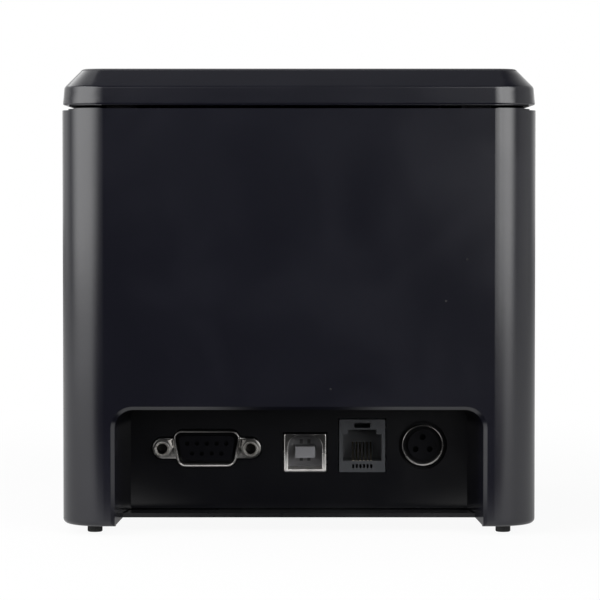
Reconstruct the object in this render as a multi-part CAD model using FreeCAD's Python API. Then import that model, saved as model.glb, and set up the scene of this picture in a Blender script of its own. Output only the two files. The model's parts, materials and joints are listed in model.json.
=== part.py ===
import FreeCAD, Part
import math
import os

# A desktop receipt printer for 80 mm paper rolls. Millimetres, +Z up, the front faces -Y,
# and the origin is on the table under the middle of the case.

# Case
WIDTH = 132.0
DEPTH = 164.0
HEIGHT = 129.3
CORNER_R = 12.0
WALL = 2.5
BOTTOM_ROUND = 1.5
FIT = 0.3
RUN = 0.05
SMALL_STEP = 1.0

# Lid slab, shared by the paper cover and the front cover
LID_HEIGHT = 10.4
LID_T = 2.2
LID_CHAMFER = 5.1
LID_DRAFT = 0.45
LID_INSET = 0.15
LID_EDGE = 0.4
SEAM = 0.6
GROOVE_DEEP = 2.2
GROOVE_BODY = 0.5
GROOVE_LID = 0.4

# Rear cable recess
RECESS_SIDE = 14.85
RECESS_TOP = 35.0
RECESS_D = 22.0
RECESS_R = 5.2
RECESS_WALL = 2.0
RECESS_LIP = 0.9
RECESS_TAPER = 3.5
PLATE_DROP = 0.7
PLATE_R = 4.0

# Floor tray and feet
FOOT_DROP = 2.6
TRAY_LIFT = 1.4
TRAY_T = 1.2
TRAY_SETBACK = 11.6
FOOT_R = 2.1
FOOT_ROUND = 0.4
FOOT_SIDE = 8.8
FOOT_REAR = 12.4
FOOT_FRONT = 20.0
FOOT_STEM_R = 1.5
FOOT_BUTTON_R = 2.2
FOOT_BUTTON_T = 1.2
VENT_W = 2.4
VENT_L = 26.0
VENT_PITCH = 6.0
VENT_COUNT = 7
VENT_FRONT = 46.0

# Screws
SCREW_R = 1.1
SCREW_FREE_R = 1.6
PILOT_R = 1.2
HEAD_R = 2.6
HEAD_T = 1.4
DRIVE_R = 1.1
DRIVE_DEEP = 0.9
BOSS_R = 3.5
BOSS_H = 16.0
BOSS_SIDE = 8.5
BOSS_REAR = 30.0
BOSS_FRONT = 9.0

# Main board
BOARD_Z = 15.8
BOARD_T = 1.6
BOARD_SIDE = 0.95
BOARD_GAP = 2.0
BOARD_HOLE_SIDE = 4.0
BOARD_HOLE_INSET = 6.0
BOARD_HOLE_REAR = 20.0
STANDOFF_R = 3.0
CHIP_W = 16.0
CHIP_T = 1.6
CHIP_AHEAD = 3.0
MEMORY_W = 10.0
COIL_W = 12.0
COIL_H = 6.0
CAN_R = 4.0
CAN_H = 10.0
CAN_REAR = 24.0
BUZZER_R = 6.0
BUZZER_H = 8.0
PLUG_D = 6.0
PLUG_H = 7.0
PLUG_PITCH = 2.0

# Serial socket, nine ways
SERIAL_SHARE = 0.5484
SERIAL_Z = 22.6
SERIAL_SPAN = 25.0
SERIAL_EAR_W = 30.8
SERIAL_EAR_H = 5.9
SERIAL_D_W = 19.7
SERIAL_D_H = 10.4
SERIAL_D_SLOPE = 10.0
SERIAL_D_R = 2.6
SERIAL_SHELL_T = 0.7
SERIAL_PLUG_GAP = 1.0
SERIAL_STAND = 1.9
SERIAL_LIP = 0.3
SERIAL_EAR_T = 1.0
SERIAL_EAR_STAND = 0.5
SERIAL_PIN_PITCH = 2.77
SERIAL_ROW_GAP = 2.84
SERIAL_PIN_R = 0.62
SERIAL_PIN_DEEP = 4.0
SERIAL_BLOCK_D = 11.0
JACKSCREW_AF = 4.8
JACKSCREW_L = 3.0
JACKSCREW_R = 1.42
JACKSCREW_SINK_R = 2.0
JACKSCREW_DEEP = 8.0
JACKSCREW_SHANK_R = 2.0
JACKSCREW_SHANK_L = 4.0

# Data socket
USB_SHARE = -0.0364
USB_W = 12.0
USB_H = 11.0
USB_DEEP = 15.0
USB_STAND = 0.6
USB_WALL = 1.2
USB_SILL = 0.9
USB_LINTEL = 0.55
USB_ROUND = 3.2
USB_LIP = 0.35
USB_TONGUE_W = 5.6
USB_TONGUE_H = 3.2
USB_TONGUE_BACK = 1.8
USB_FLOOR = 9.5

# Drawer jack
JACK_SHARE = -0.376
JACK_W = 13.0
JACK_H = 14.9
JACK_DEEP = 15.0
JACK_BORE_W = 11.0
JACK_BORE_H = 7.5
JACK_BORE_Z = 3.2
JACK_BORE_D = 11.0
JACK_STEP_W = 8.0
JACK_STEP_H = 1.35
JACK_LATCH_W = 4.5
JACK_LATCH_BAND = 0.45
JACK_LATCH_H = 1.45
JACK_COMB_H = 1.2
JACK_COMB_Z = 1.1
JACK_WAYS = 6
JACK_PITCH = 1.02
JACK_WIRE = 0.45
JACK_SLIT = 0.6
JACK_WIRE_REACH = 7.5
JACK_WIRE_RISE = 4.6

# Power socket
POWER_SHARE = -0.7353
POWER_Z = 23.4
POWER_HOLE_R = 6.9
POWER_RING_R = 5.85
POWER_RING_T = 0.45
POWER_LIP = 0.2
POWER_STAND = 0.3
POWER_CORE_R = 4.2
POWER_CORE_BACK = 0.8
POWER_BLOCK_W = 14.0
POWER_BLOCK_D = 12.0
POWER_PIN_R = 0.85
POWER_PIN_CIRCLE = 2.3
POWER_PIN_DEEP = 6.0
POWER_KEY_W = 2.2

# Hinge of the paper cover
HINGE_INSET = 8.0
HINGE_RISE = 4.0
HINGE_PIN_R = 1.5
HINGE_EYE_R = 3.0
EAR_SIDE = 12.0
EAR_W = 8.0
EAR_REACH = 22.0
EAR_NECK = 10.0
KNUCKLE_T = 2.5
KNUCKLE_GAP = 0.5
RELIEF = 0.35

# Paper bin
BIN_SIDE = 24.75
BIN_AHEAD = 21.0
BIN_T = 2.0
BIN_FLOOR_Z = 33.5
BIN_REAR_GAP = 1.5
BIN_LIP = 7.0
DECK_DROP = 0.9
DECK_T = 2.0
DECK_GAP = 14.0
RAMP_REACH = 2.5
RAMP_DROP = 11.0
SENSOR_W = 6.0
LEDGE_T = 2.0
LEDGE_L = 6.0
LEDGE_REACH = 6.0

# Print mechanism: the head side leans forward by LEAN about the platen axis
PLATEN_BACK = 54.0
PLATEN_DROP = 12.7
LEAN = 25.0
PLATEN_R = 6.0
PLATEN_ROOM = 0.25
PLATEN_SHAFT_R = 2.5
PAPER_GAP = 0.3
BUSH_R = 4.5
BUSH_SLOT_GAP = 0.35
SLOT_REACH = 16.0
ARM_GAP = 0.35
ARM_T = 2.0
ARM_BOSS_R = 7.5
PLATE_GAP = 0.8
PLATE_T = 1.2
MECH_DEEP = 49.5
MECH_AHEAD = 36.0
MECH_BEHIND = 14.0
MECH_TOP_GAP = 5.0
FLANGE_W = 12.0
MECH_POST_R = 4.0
MECH_POST_INSET = 6.0
HEAD_STRIP_T = 1.0
HEAD_STRIP_Z0 = -8.0
HEAD_STRIP_Z1 = 6.0
HEAD_DRIVER_T = 1.4
HEAD_DRIVER_H = 4.5
HEAD_SINK_T = 4.0
HEAD_SINK_Z0 = -18.0
HEAD_SINK_Z1 = 9.0
HEAD_SINK_OVER = 1.5
HEAD_FIN_SIDE = 7.5
HEAD_FIN_COUNT = 11
HEAD_FIN_DEEP = 2.2
HEAD_FIN_SLOT = 3.5
HEAD_PIVOT_Z = -20.0
HEAD_SHAFT_R = 1.5
HEAD_LUG_R = 3.2
BRACKET_Y = -16.5
BRACKET_Z0 = -6.0
BRACKET_Z1 = 8.0
SPRING_T = 0.4
SPRING_SIDE = 13.0
SPRING_Z = 2.0
SPRING_HALF = 7.0

# Feed gears
MODULE = 0.8
PRESSURE = math.radians(20.0)
ADDENDUM = 0.9
DEDENDUM = 1.25
BACKLASH = 0.16
MESH_GAP = 0.05
PLATEN_TEETH = 24
SMALL_TEETH = 18
BIG_TEETH = 40
PINION_TEETH = 16
GEAR_FACE = 4.8
GEAR_OFFSET = 1.7
BIG_FACE = 3.2
WHEEL_GAP = 0.6
GEAR_STUB_R = 2.0
MOTOR_ANGLE = math.radians(215.0)
MOTOR_R = 14.0
MOTOR_L = 23.0
MOTOR_SHAFT_R = 1.5
MOTOR_EAR_R = 3.5
MOTOR_EAR_SPAN = 36.0
MOTOR_EAR_T = 1.2
MOTOR_HOLE_R = 5.0

# Cutter, in the leaning frame of the mechanism
CUT_BASE_Z = 10.5
CUT_BASE_T = 1.2
CUT_FRONT = -46.0
CUT_MOUTH = -8.7
CUT_FLANGE_T = 1.2
CUT_FLANGE_Z = -2.0
BLADE_Z = 13.1
BLADE_T = 1.0
BLADE_OVER = 1.0
BLADE_BACK = -41.0
BLADE_EDGE = -8.5
BLADE_VEE = 2.6
BLADE_SLIDE_GAP = 0.2
BLADE_STROKE = 5.6
FIXED_EDGE = -5.6
FIXED_BACK = 8.0
FIXED_T = 1.0
RACK_SIDE = 10.0
RACK_W = 4.0
RACK_BACK = 1.6
CUT_PINION_TEETH = 16
CUT_SHAFT_Y = -30.0
CUT_SHAFT_R = 2.0
CUT_MODULE = 0.5
CUT_GEAR_TEETH = 28
CUT_GEAR_SIDE = 15.0
CUT_GEAR_FACE = 3.0
CUT_DRIVE_TEETH = 14
CUT_MOTOR_ANGLE = math.radians(230.0)
CUT_MOTOR_R = 7.2
CUT_MOTOR_L = 25.0
CUT_MOTOR_FLAT = 5.8
CUT_MOTOR_SHAFT_R = 0.8
CUT_MOTOR_PLATE_T = 1.2
CUT_LID_Z = 15.2
CUT_LID_T = 0.8
RAIL_W = 5.0
SLOT_ROOM = 0.6

# Paper exit, measured square to the paper in the leaning frame
EXIT_LID = -4.3
EXIT_COVER = -8.1
EXIT_OVER = 1.5
SPLIT_GAP = 0.4
TEAR_T = 0.8
TEAR_PITCH = 2.0
TEAR_TOOTH = 1.2
TEAR_H = 7.0
TEAR_DROP = 0.5

# Liner of the paper cover
LINER_T = 2.0
LINER_SIDE = 8.0
LINER_REAR_GAP = 28.0
LINER_AHEAD = 10.5
LINER_WINDOW_SIDE = 24.0
LINER_WINDOW_FRONT = 20.0
LINER_WINDOW_REAR = 8.0

# Release lever
LEVER_SIDE = 11.0
LEVER_T = 3.4
LEVER_FRONT = 22.0
LEVER_DROP = 8.6
LEVER_HUB_R = 4.0
LEVER_PIN_R = 2.0
LEVER_ARM = 4.0
LEVER_REACH = 21.0
LEVER_TURN = 10.0
LEVER_TAB_W = 14.0
LEVER_TAB_D = 6.0
LEVER_TAB_T = 2.4
PAD_GAP = 0.4
PAD_TOE = 5.4
PAD_HANGER = 4.0
PAD_T = 3.0
PAD_TOE_T = 2.4
POCKET_DEEP = 4.0
POCKET_T = 1.6
POCKET_ROOM = 1.0

# Controls in the front cover
BUTTON_X = 12.0
PANEL_FRONT = 16.0
BUTTON_W = 13.0
BUTTON_D = 7.0
BUTTON_R = 3.2
BUTTON_STAND = 0.5
BUTTON_RIM = 1.2
BUTTON_RIM_T = 1.0
BUTTON_TRAVEL = 1.2
LENS_X = -24.0
LENS_PITCH = 8.0
LENS_COUNT = 3
LENS_R = 1.3
LENS_COLLAR_R = 2.2
LENS_COLLAR_T = 1.0
PANEL_BOARD_DROP = 13.0
PANEL_BOARD_X0 = -36.0
PANEL_BOARD_X1 = 28.0
PANEL_BOARD_W = 14.0
PANEL_BOARD_T = 1.6
KEY_W = 6.0
KEY_H = 4.3
PANEL_POST_R = 2.6
COVER_SKIRT_T = 1.6
COVER_SKIRT_H = 4.0
COVER_SKIRT_RIM = 2.0
SEAT_X = 30.0
SEAT_W = 8.0
SEAT_T = 3.0

# Power rocker in the left side wall
ROCKER_FRONT = 38.0
ROCKER_Z = 30.0
ROCKER_L = 16.4
ROCKER_W = 10.4
ROCKER_DISH = 1.2
ROCKER_RISE = 2.6
ROCKER_BELLY = 4.5
ROCKER_TILT = 8.0
ROCKER_PIN_R = 1.0
SWITCH_WALL = 0.9
SWITCH_RIM = 2.2
SWITCH_RIM_T = 1.0
SWITCH_DEEP = 10.0
SWITCH_POCKET = 4.0
SWITCH_POCKET_ROOM = 1.0

# Places worked out from the sizes above
HALF_W = WIDTH / 2
HALF_D = DEPTH / 2
RIM_Z = FOOT_DROP
LID_Z = HEIGHT - LID_HEIGHT
BODY_TOP = LID_Z - SEAM
SKIRT_TOP = HEIGHT - LID_CHAMFER
LID_UNDER = HEIGHT - LID_T
TRAY_Z = RIM_Z + TRAY_LIFT
TRAY_TOP = TRAY_Z + TRAY_T
RECESS_W = WIDTH - 2 * RECESS_SIDE
PLATE_W = RECESS_W - 2 * RECESS_TAPER
SERIAL_X = SERIAL_SHARE * PLATE_W / 2
USB_X = USB_SHARE * PLATE_W / 2
JACK_X = JACK_SHARE * PLATE_W / 2
POWER_X = POWER_SHARE * PLATE_W / 2
FOOT_X = HALF_W - FOOT_SIDE
BOSS_X = HALF_W - BOSS_SIDE
VENT_Y = -HALF_D + VENT_FRONT
PORT_Y = HALF_D - RECESS_D
PLATE_BACK = PORT_Y - RECESS_WALL
BOARD_W = PLATE_W - 2 * BOARD_SIDE
BOARD_HOLE_X = BOARD_W / 2 - BOARD_HOLE_SIDE
HINGE_Y = HALF_D - HINGE_INSET
HINGE_Z = LID_Z + HINGE_RISE
EAR_X1 = HALF_W - EAR_SIDE
EAR_X0 = EAR_X1 - EAR_W
PLATEN_Y = -HALF_D + PLATEN_BACK
PLATEN_Z = LID_Z - PLATEN_DROP
DECK_TOP = BODY_TOP - DECK_DROP
DECK_Z = DECK_TOP - DECK_T
BIN_R = (HALF_D - WALL - BIN_REAR_GAP - BIN_T - PLATEN_Y - BIN_AHEAD) / 2
BIN_Y = HALF_D - WALL - BIN_REAR_GAP - BIN_T - BIN_R
BIN_Z = BIN_FLOOR_Z + BIN_R
BIN_LIP_Z = BIN_Z + BIN_LIP
BIN_HALF = HALF_W - BIN_SIDE
DECK_FRONT = PLATEN_Y + DECK_GAP
RAMP_END_Y = PLATEN_Y + RAMP_REACH
RAMP_END_Z = PLATEN_Z - RAMP_DROP
PLATEN_L = 2 * (BIN_HALF - PLATEN_ROOM)
LINER_Z = LID_UNDER - LINER_T
ARM_X0 = BIN_HALF + BIN_T + ARM_GAP
ARM_X1 = ARM_X0 + ARM_T
PLATE_INNER = ARM_X1 + PLATE_GAP
PLATE_OUTER = PLATE_INNER + PLATE_T
MECH_BASE_Z = PLATEN_Z - MECH_DEEP
MECH_FRONT = PLATEN_Y - MECH_AHEAD
MECH_REAR = PLATEN_Y + MECH_BEHIND
BOARD_FRONT = MECH_REAR + BOARD_GAP
HEAD_SINK_W = PLATEN_L + 2 * HEAD_SINK_OVER
SPRING_W = PLATEN_L - 2 * SPRING_SIDE
BLADE_W = PLATEN_L + 2 * BLADE_OVER
RACK_X = BLADE_W / 2 - RACK_SIDE
CUT_GEAR_X = CUT_GEAR_SIDE - BLADE_W / 2
EXIT_W = PLATEN_L + 2 * EXIT_OVER
LINER_HALF_W = HALF_W - LINER_SIDE
LINER_REAR = HINGE_Y - LINER_REAR_GAP
LINER_FRONT = PLATEN_Y - LINER_AHEAD
LEVER_X = HALF_W - LEVER_SIDE
LEVER_Y = -HALF_D + LEVER_FRONT
LEVER_Z = BODY_TOP - LEVER_DROP
PANEL_Y = -HALF_D + PANEL_FRONT
ROCKER_Y = -HALF_D + ROCKER_FRONT
CUT_WIDTH = 2 * PLATE_INNER
LEAN_RAD = math.radians(LEAN)
SWEEP_MARGIN = 1.0
FAR = 400.0
FULL_ROUND = 0.98

V = FreeCAD.Vector
X_AXIS = V(1, 0, 0)
Y_AXIS = V(0, 1, 0)
Z_AXIS = V(0, 0, 1)


# Plain solids
def block(x0, x1, y0, y1, z0, z1):
    return Part.makeBox(x1 - x0, y1 - y0, z1 - z0, V(x0, y0, z0))


def rod_x(x0, x1, y, z, radius):
    return Part.makeCylinder(radius, x1 - x0, V(x0, y, z), X_AXIS)


def rod_y(y0, y1, x, z, radius):
    return Part.makeCylinder(radius, y1 - y0, V(x, y0, z), Y_AXIS)


def rod_z(z0, z1, x, y, radius):
    return Part.makeCylinder(radius, z1 - z0, V(x, y, z0), Z_AXIS)


def join(shapes):
    """One solid from shapes that touch or overlap."""
    return shapes[0].multiFuse(shapes[1:]).removeSplitter()


def mirrored(shape):
    """The same piece on the other side of the printer's middle plane."""
    return shape.mirror(V(0, 0, 0), X_AXIS)


def pair(shape):
    return [shape, mirrored(shape)]


def plate_x(points, x0, x1):
    """Flat plate whose outline is given as (y, z) points, from x0 to x1."""
    corners = [V(x0, y, z) for y, z in points]
    return Part.Face(Part.makePolygon(corners + corners[:1])).extrude(V(x1 - x0, 0, 0))


def plate_y(points, y0, y1):
    """Flat plate whose outline is given as (x, z) points, from y0 to y1."""
    corners = [V(x, y0, z) for x, z in points]
    return Part.Face(Part.makePolygon(corners + corners[:1])).extrude(V(0, y1 - y0, 0))


def plate_z(points, z0, z1):
    """Flat plate whose outline is given as (x, y) points, from z0 to z1."""
    corners = [V(x, y, z0) for x, y in points]
    return Part.Face(Part.makePolygon(corners + corners[:1])).extrude(V(0, 0, z1 - z0))


def rounded_wire(u0, u1, v0, v1, radius, put):
    """Rounded rectangle; put turns its (u, v) into a point of the printer."""
    far = radius * (1 - math.sqrt(0.5))
    corners = [(u1, v0, -1, 1), (u1, v1, -1, -1), (u0, v1, 1, -1), (u0, v0, 1, 1)]
    arcs = []
    for index, (u, v, du, dv) in enumerate(corners):
        first = put(u + du * radius, v)
        last = put(u, v + dv * radius)
        if index % 2:
            first, last = last, first
        arcs.append((first, put(u + du * far, v + dv * far), last))
    edges = []
    for index, arc in enumerate(arcs):
        edges.append(Part.Arc(*arc).toShape())
        edges.append(Part.makeLine(arc[2], arcs[(index + 1) % 4][0]))
    return Part.Wire(edges)


def rounded_z(x0, x1, y0, y1, radius, z0, z1):
    wire = rounded_wire(x0, x1, y0, y1, radius, lambda u, v: V(u, v, z0))
    return Part.Face(wire).extrude(V(0, 0, z1 - z0))


def rounded_y(x0, x1, z0, z1, radius, y0, y1):
    wire = rounded_wire(x0, x1, z0, z1, radius, lambda u, v: V(u, y0, v))
    return Part.Face(wire).extrude(V(0, y1 - y0, 0))


# The printer's plan outline and the slab of its top
def outline(inset, z):
    """Plan of the case, drawn in by inset, at height z."""
    radius = CORNER_R - inset
    return rounded_wire(-HALF_W + inset, HALF_W - inset, -HALF_D + inset, HALF_D - inset, radius,
                        lambda u, v: V(u, v, z))


def prism(inset, z0, z1):
    return Part.Face(outline(inset, z0)).extrude(V(0, 0, z1 - z0))


def ring(outer_inset, inner_inset, z0, z1):
    return prism(outer_inset, z0, z1).cut(prism(inner_inset, z0, z1))


def slab_outside():
    """Chamfered slab that the paper cover and the front cover are cut from."""
    skirt = LID_INSET + LID_DRAFT
    sections = [outline(LID_INSET + LID_EDGE, LID_Z), outline(LID_INSET, LID_Z + LID_EDGE),
                outline(skirt, SKIRT_TOP), outline(skirt + LID_CHAMFER, HEIGHT)]
    slab = Part.makeLoft(sections, True, True)
    for side in (-1, 1):
        inner = side * (HALF_W - GROOVE_DEEP)
        slab = slab.cut(block(min(inner, side * WIDTH), max(inner, side * WIDTH), -HALF_D, HALF_D,
                              LID_Z - LID_EDGE, LID_Z + GROOVE_LID))
    return slab


def slab_inside():
    """Hollow of the slab, with an even wall under the chamfer."""
    skirt = LID_INSET + LID_DRAFT + LID_T
    bend = LID_T * (math.sqrt(2) - 1)
    top = skirt + LID_UNDER - (SKIRT_TOP - bend)
    sections = [outline(LID_INSET + LID_T, LID_Z - LID_EDGE), outline(skirt, SKIRT_TOP - bend),
                outline(top, LID_UNDER)]
    return Part.makeLoft(sections, True, True)


# The leaning frame of the print head and the paper path
def lean(shape):
    """Put a piece drawn about the platen axis, with +Y square to the head, in its place."""
    placed = shape.copy()
    placed.translate(V(0, PLATEN_Y, PLATEN_Z))
    placed.rotate(V(0, PLATEN_Y, PLATEN_Z), X_AXIS, LEAN)
    return placed


def lean_point(y, z):
    """(y, z) in the printer of a point in the leaning frame."""
    return (PLATEN_Y + y * math.cos(LEAN_RAD) - z * math.sin(LEAN_RAD),
            PLATEN_Z + y * math.sin(LEAN_RAD) + z * math.cos(LEAN_RAD))


def lean_height(y, z):
    """Leaning height at which the line through leaning y reaches height z."""
    return (z - PLATEN_Z - y * math.sin(LEAN_RAD)) / math.cos(LEAN_RAD)


def behind(y):
    return lean(block(-FAR, FAR, y, FAR, -FAR, FAR))


def in_front_of(y):
    return lean(block(-FAR, FAR, -FAR, y, -FAR, FAR))


# Gears, drawn about the origin with their axis along X
def involute(angle):
    return math.tan(angle) - angle


def polar(radius, angle):
    return V(0, radius * math.cos(angle), radius * math.sin(angle))


def gear(teeth, module, phase, x0, x1):
    """Spur gear with a tooth centred on the angle phase, measured from +Y towards +Z."""
    pitch_r = module * teeth / 2
    base_r = pitch_r * math.cos(PRESSURE)
    tip_r = pitch_r + module * ADDENDUM
    root_r = pitch_r - module * DEDENDUM
    flank_r = max(base_r, root_r)
    half = math.pi / (2 * teeth) - BACKLASH / (4 * pitch_r)

    def half_angle(radius):
        return half + involute(PRESSURE) - involute(math.acos(min(1.0, base_r / radius)))

    radii = [flank_r, (flank_r + tip_r) / 2, tip_r]
    root_half = half_angle(flank_r)
    edges = []
    for tooth in range(teeth):
        middle = phase + 2 * math.pi * tooth / teeth
        rise = [polar(radius, middle - half_angle(radius)) for radius in radii]
        fall = [polar(radius, middle + half_angle(radius)) for radius in reversed(radii)]
        foot_in = polar(root_r, middle - root_half)
        foot_out = polar(root_r, middle + root_half)
        next_in = polar(root_r, middle + 2 * math.pi / teeth - root_half)
        if root_r < flank_r:
            edges.append(Part.makeLine(foot_in, rise[0]))
        edges.append(Part.Arc(*rise).toShape())
        edges.append(Part.makeLine(rise[2], fall[0]))
        edges.append(Part.Arc(*fall).toShape())
        if root_r < flank_r:
            edges.append(Part.makeLine(fall[2], foot_out))
        edges.append(Part.makeLine(foot_out, next_in))
    wheel = Part.Face(Part.Wire(edges)).extrude(V(x1 - x0, 0, 0))
    wheel.translate(V(x0, 0, 0))
    return wheel


def centre_distance(module, teeth_a, teeth_b):
    return module * (teeth_a + teeth_b) / 2 + MESH_GAP


def moved(shape, y, z):
    placed = shape.copy()
    placed.translate(V(0, y, z))
    return placed


# Where the feed gears stand: the lid lifts the platen gear straight off the small wheel
LIFT_Y = PLATEN_Y - HINGE_Y
LIFT_Z = PLATEN_Z - HINGE_Z
LIFT_ANGLE = math.atan2(-LIFT_Y, LIFT_Z)
WHEEL_ANGLE = LIFT_ANGLE + math.pi
WHEEL_STEP = centre_distance(MODULE, PLATEN_TEETH, SMALL_TEETH)
WHEEL_Y = PLATEN_Y + WHEEL_STEP * math.cos(WHEEL_ANGLE)
WHEEL_Z = PLATEN_Z + WHEEL_STEP * math.sin(WHEEL_ANGLE)
MOTOR_STEP = centre_distance(MODULE, BIG_TEETH, PINION_TEETH)
MOTOR_Y = WHEEL_Y + MOTOR_STEP * math.cos(MOTOR_ANGLE)
MOTOR_Z = WHEEL_Z + MOTOR_STEP * math.sin(MOTOR_ANGLE)
GEAR_X0 = PLATE_OUTER + GEAR_OFFSET
GEAR_X1 = GEAR_X0 + GEAR_FACE
BIG_X0 = GEAR_X1 + WHEEL_GAP
BIG_X1 = BIG_X0 + BIG_FACE

# Where the cutter's shaft and motor stand, in the leaning frame
CUT_PINION_R = MODULE * CUT_PINION_TEETH / 2
RACK_PITCH_Z = BLADE_Z - RACK_BACK - MODULE * ADDENDUM
CUT_SHAFT_Z = RACK_PITCH_Z - CUT_PINION_R - MESH_GAP
CUT_STEP = centre_distance(CUT_MODULE, CUT_GEAR_TEETH, CUT_DRIVE_TEETH)
CUT_MOTOR_Y = CUT_SHAFT_Y + CUT_STEP * math.cos(CUT_MOTOR_ANGLE)
CUT_MOTOR_Z = CUT_SHAFT_Z + CUT_STEP * math.sin(CUT_MOTOR_ANGLE)


# Rear recess
def recess_wire(depth, grow):
    """Arch of the cable recess at a depth from the rear face, made larger by grow."""
    share = depth / RECESS_D
    half = (RECESS_W - (RECESS_W - PLATE_W) * share) / 2 + grow
    top = RECESS_TOP - PLATE_DROP * share + grow
    radius = RECESS_R + (PLATE_R - RECESS_R) * share + grow
    low = -RIM_Z
    y = HALF_D - depth
    far = radius * (1 - math.sqrt(0.5))
    left = Part.Arc(V(-half, y, top - radius), V(-half + far, y, top - far), V(-half + radius, y, top))
    right = Part.Arc(V(half - radius, y, top), V(half - far, y, top - far), V(half, y, top - radius))
    edges = [Part.makeLine(V(-half, y, low), V(-half, y, top - radius)), left.toShape(),
             Part.makeLine(V(-half + radius, y, top), V(half - radius, y, top)), right.toShape(),
             Part.makeLine(V(half, y, top - radius), V(half, y, low)),
             Part.makeLine(V(half, y, low), V(-half, y, low))]
    return Part.Wire(edges)


def recess_solid(depth_0, grow_0, depth_1, grow_1):
    return Part.makeLoft([recess_wire(depth_0, grow_0), recess_wire(depth_1, grow_1)], True, True)


def recess_hollow():
    hollow = recess_solid(-SWEEP_MARGIN, 0, RECESS_D, 0)
    flare = recess_solid(-SWEEP_MARGIN, SWEEP_MARGIN + RECESS_LIP, RECESS_LIP, 0)
    return hollow.fuse(flare)


def recess_tub():
    """Walls, ceiling and port plate of the recess; the walls slope up from the rim and pass over the tray."""
    tub = recess_solid(WALL / 2, RECESS_WALL, RECESS_D + RECESS_WALL, RECESS_WALL)
    edge = HALF_D - TRAY_SETBACK
    below = plate_x([(HALF_D, -FAR), (HALF_D, RIM_Z), (edge + FIT, TRAY_Z), (edge + FIT, TRAY_TOP + FIT),
                     (-HALF_D, TRAY_TOP + FIT), (-HALF_D, -FAR)], -HALF_W, HALF_W)
    return tub.cut(below)


def serial_d(width, height, radius, y0, y1):
    """D outline of the serial socket, wide side up."""
    lean_in = height * math.tan(math.radians(SERIAL_D_SLOPE))
    points = [(-width / 2 + lean_in, -height / 2), (width / 2 - lean_in, -height / 2),
              (width / 2, height / 2), (-width / 2, height / 2)]
    shape = plate_y(points, y0, y1)
    upright = [edge for edge in shape.Edges if edge.BoundBox.YLength > (y1 - y0) / 2]
    shape = shape.makeFillet(radius, upright)
    shape.translate(V(SERIAL_X, 0, SERIAL_Z))
    return shape


def serial_ears(grow, y0, y1):
    half_w = SERIAL_EAR_W / 2 + grow
    half_h = SERIAL_EAR_H / 2 + grow
    ears = rounded_y(-half_w, half_w, -half_h, half_h, half_h * FULL_ROUND, y0, y1)
    ears.translate(V(SERIAL_X, 0, SERIAL_Z))
    return ears


def port_holes():
    """Holes of the port plate, each the socket's own outline with a little room."""
    y0 = PLATE_BACK - SWEEP_MARGIN
    y1 = PORT_Y + SWEEP_MARGIN
    usb = USB_W / 2 + FIT
    jack = JACK_W / 2 + FIT
    return [serial_d(SERIAL_D_W + 2 * FIT, SERIAL_D_H + 2 * FIT, SERIAL_D_R + FIT, y0, y1),
            serial_ears(FIT, y0, y1),
            block(USB_X - usb, USB_X + usb, y0, y1, BOARD_Z, BOARD_Z + USB_H + FIT),
            block(JACK_X - jack, JACK_X + jack, y0, y1, BOARD_Z, BOARD_Z + JACK_H + FIT),
            rod_y(y0, y1, POWER_X, POWER_Z, POWER_HOLE_R)]


# Case pieces
def boss_places():
    rear = HALF_D - BOSS_REAR
    front = -HALF_D + BOSS_FRONT
    return [(x, y) for x in (-BOSS_X, BOSS_X) for y in (front, rear)]


def hinge_relief():
    """Space that the lid's rear skirt sweeps as it turns down behind the hinge pin."""
    drop = HINGE_RISE

    def sweep(turn):
        back = HINGE_INSET - CORNER_R + CORNER_R * math.cos(turn)
        x = HALF_W - CORNER_R + CORNER_R * math.sin(turn)
        return x, math.hypot(max(back, 0), drop) + RELIEF

    level = math.acos((CORNER_R - HINGE_INSET) / CORNER_R)
    knots = [sweep(0), sweep(level / 2), sweep(level)]
    right = [V(x, HINGE_Y, HINGE_Z - r) for x, r in knots]
    left = [V(-x, HINGE_Y, HINGE_Z - r) for x, r in reversed(knots)]
    axis_right = V(right[2].x, HINGE_Y, HINGE_Z)
    axis_left = V(left[0].x, HINGE_Y, HINGE_Z)
    edges = [Part.makeLine(axis_left, left[0]), Part.Arc(*left).toShape(), Part.makeLine(left[2], right[0]),
             Part.Arc(*right).toShape(), Part.makeLine(right[2], axis_right),
             Part.makeLine(axis_right, axis_left)]
    face = Part.Face(Part.Wire(edges))
    return face.revolve(V(0, HINGE_Y, HINGE_Z), X_AXIS, 360)


def switch_pocket(grow):
    """Pocket in the left wall that keeps the rocker inside the case outline."""
    half_l = ROCKER_L / 2 + SWITCH_WALL + SWITCH_RIM + SWITCH_POCKET_ROOM + grow
    half_w = ROCKER_W / 2 + SWITCH_WALL + SWITCH_RIM + SWITCH_POCKET_ROOM + grow
    x1 = -HALF_W + SWITCH_POCKET + grow
    return block(-HALF_W + grow / 2 - (0 if grow else SWEEP_MARGIN), x1, ROCKER_Y - half_l, ROCKER_Y + half_l,
                 ROCKER_Z - half_w, ROCKER_Z + half_w)


def switch_hole(room):
    half_l = ROCKER_L / 2 + SWITCH_WALL + room
    half_w = ROCKER_W / 2 + SWITCH_WALL + room
    return block(-HALF_W, -HALF_W + SWITCH_POCKET + WALL + SWEEP_MARGIN, ROCKER_Y - half_l, ROCKER_Y + half_l,
                 ROCKER_Z - half_w, ROCKER_Z + half_w)


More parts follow.
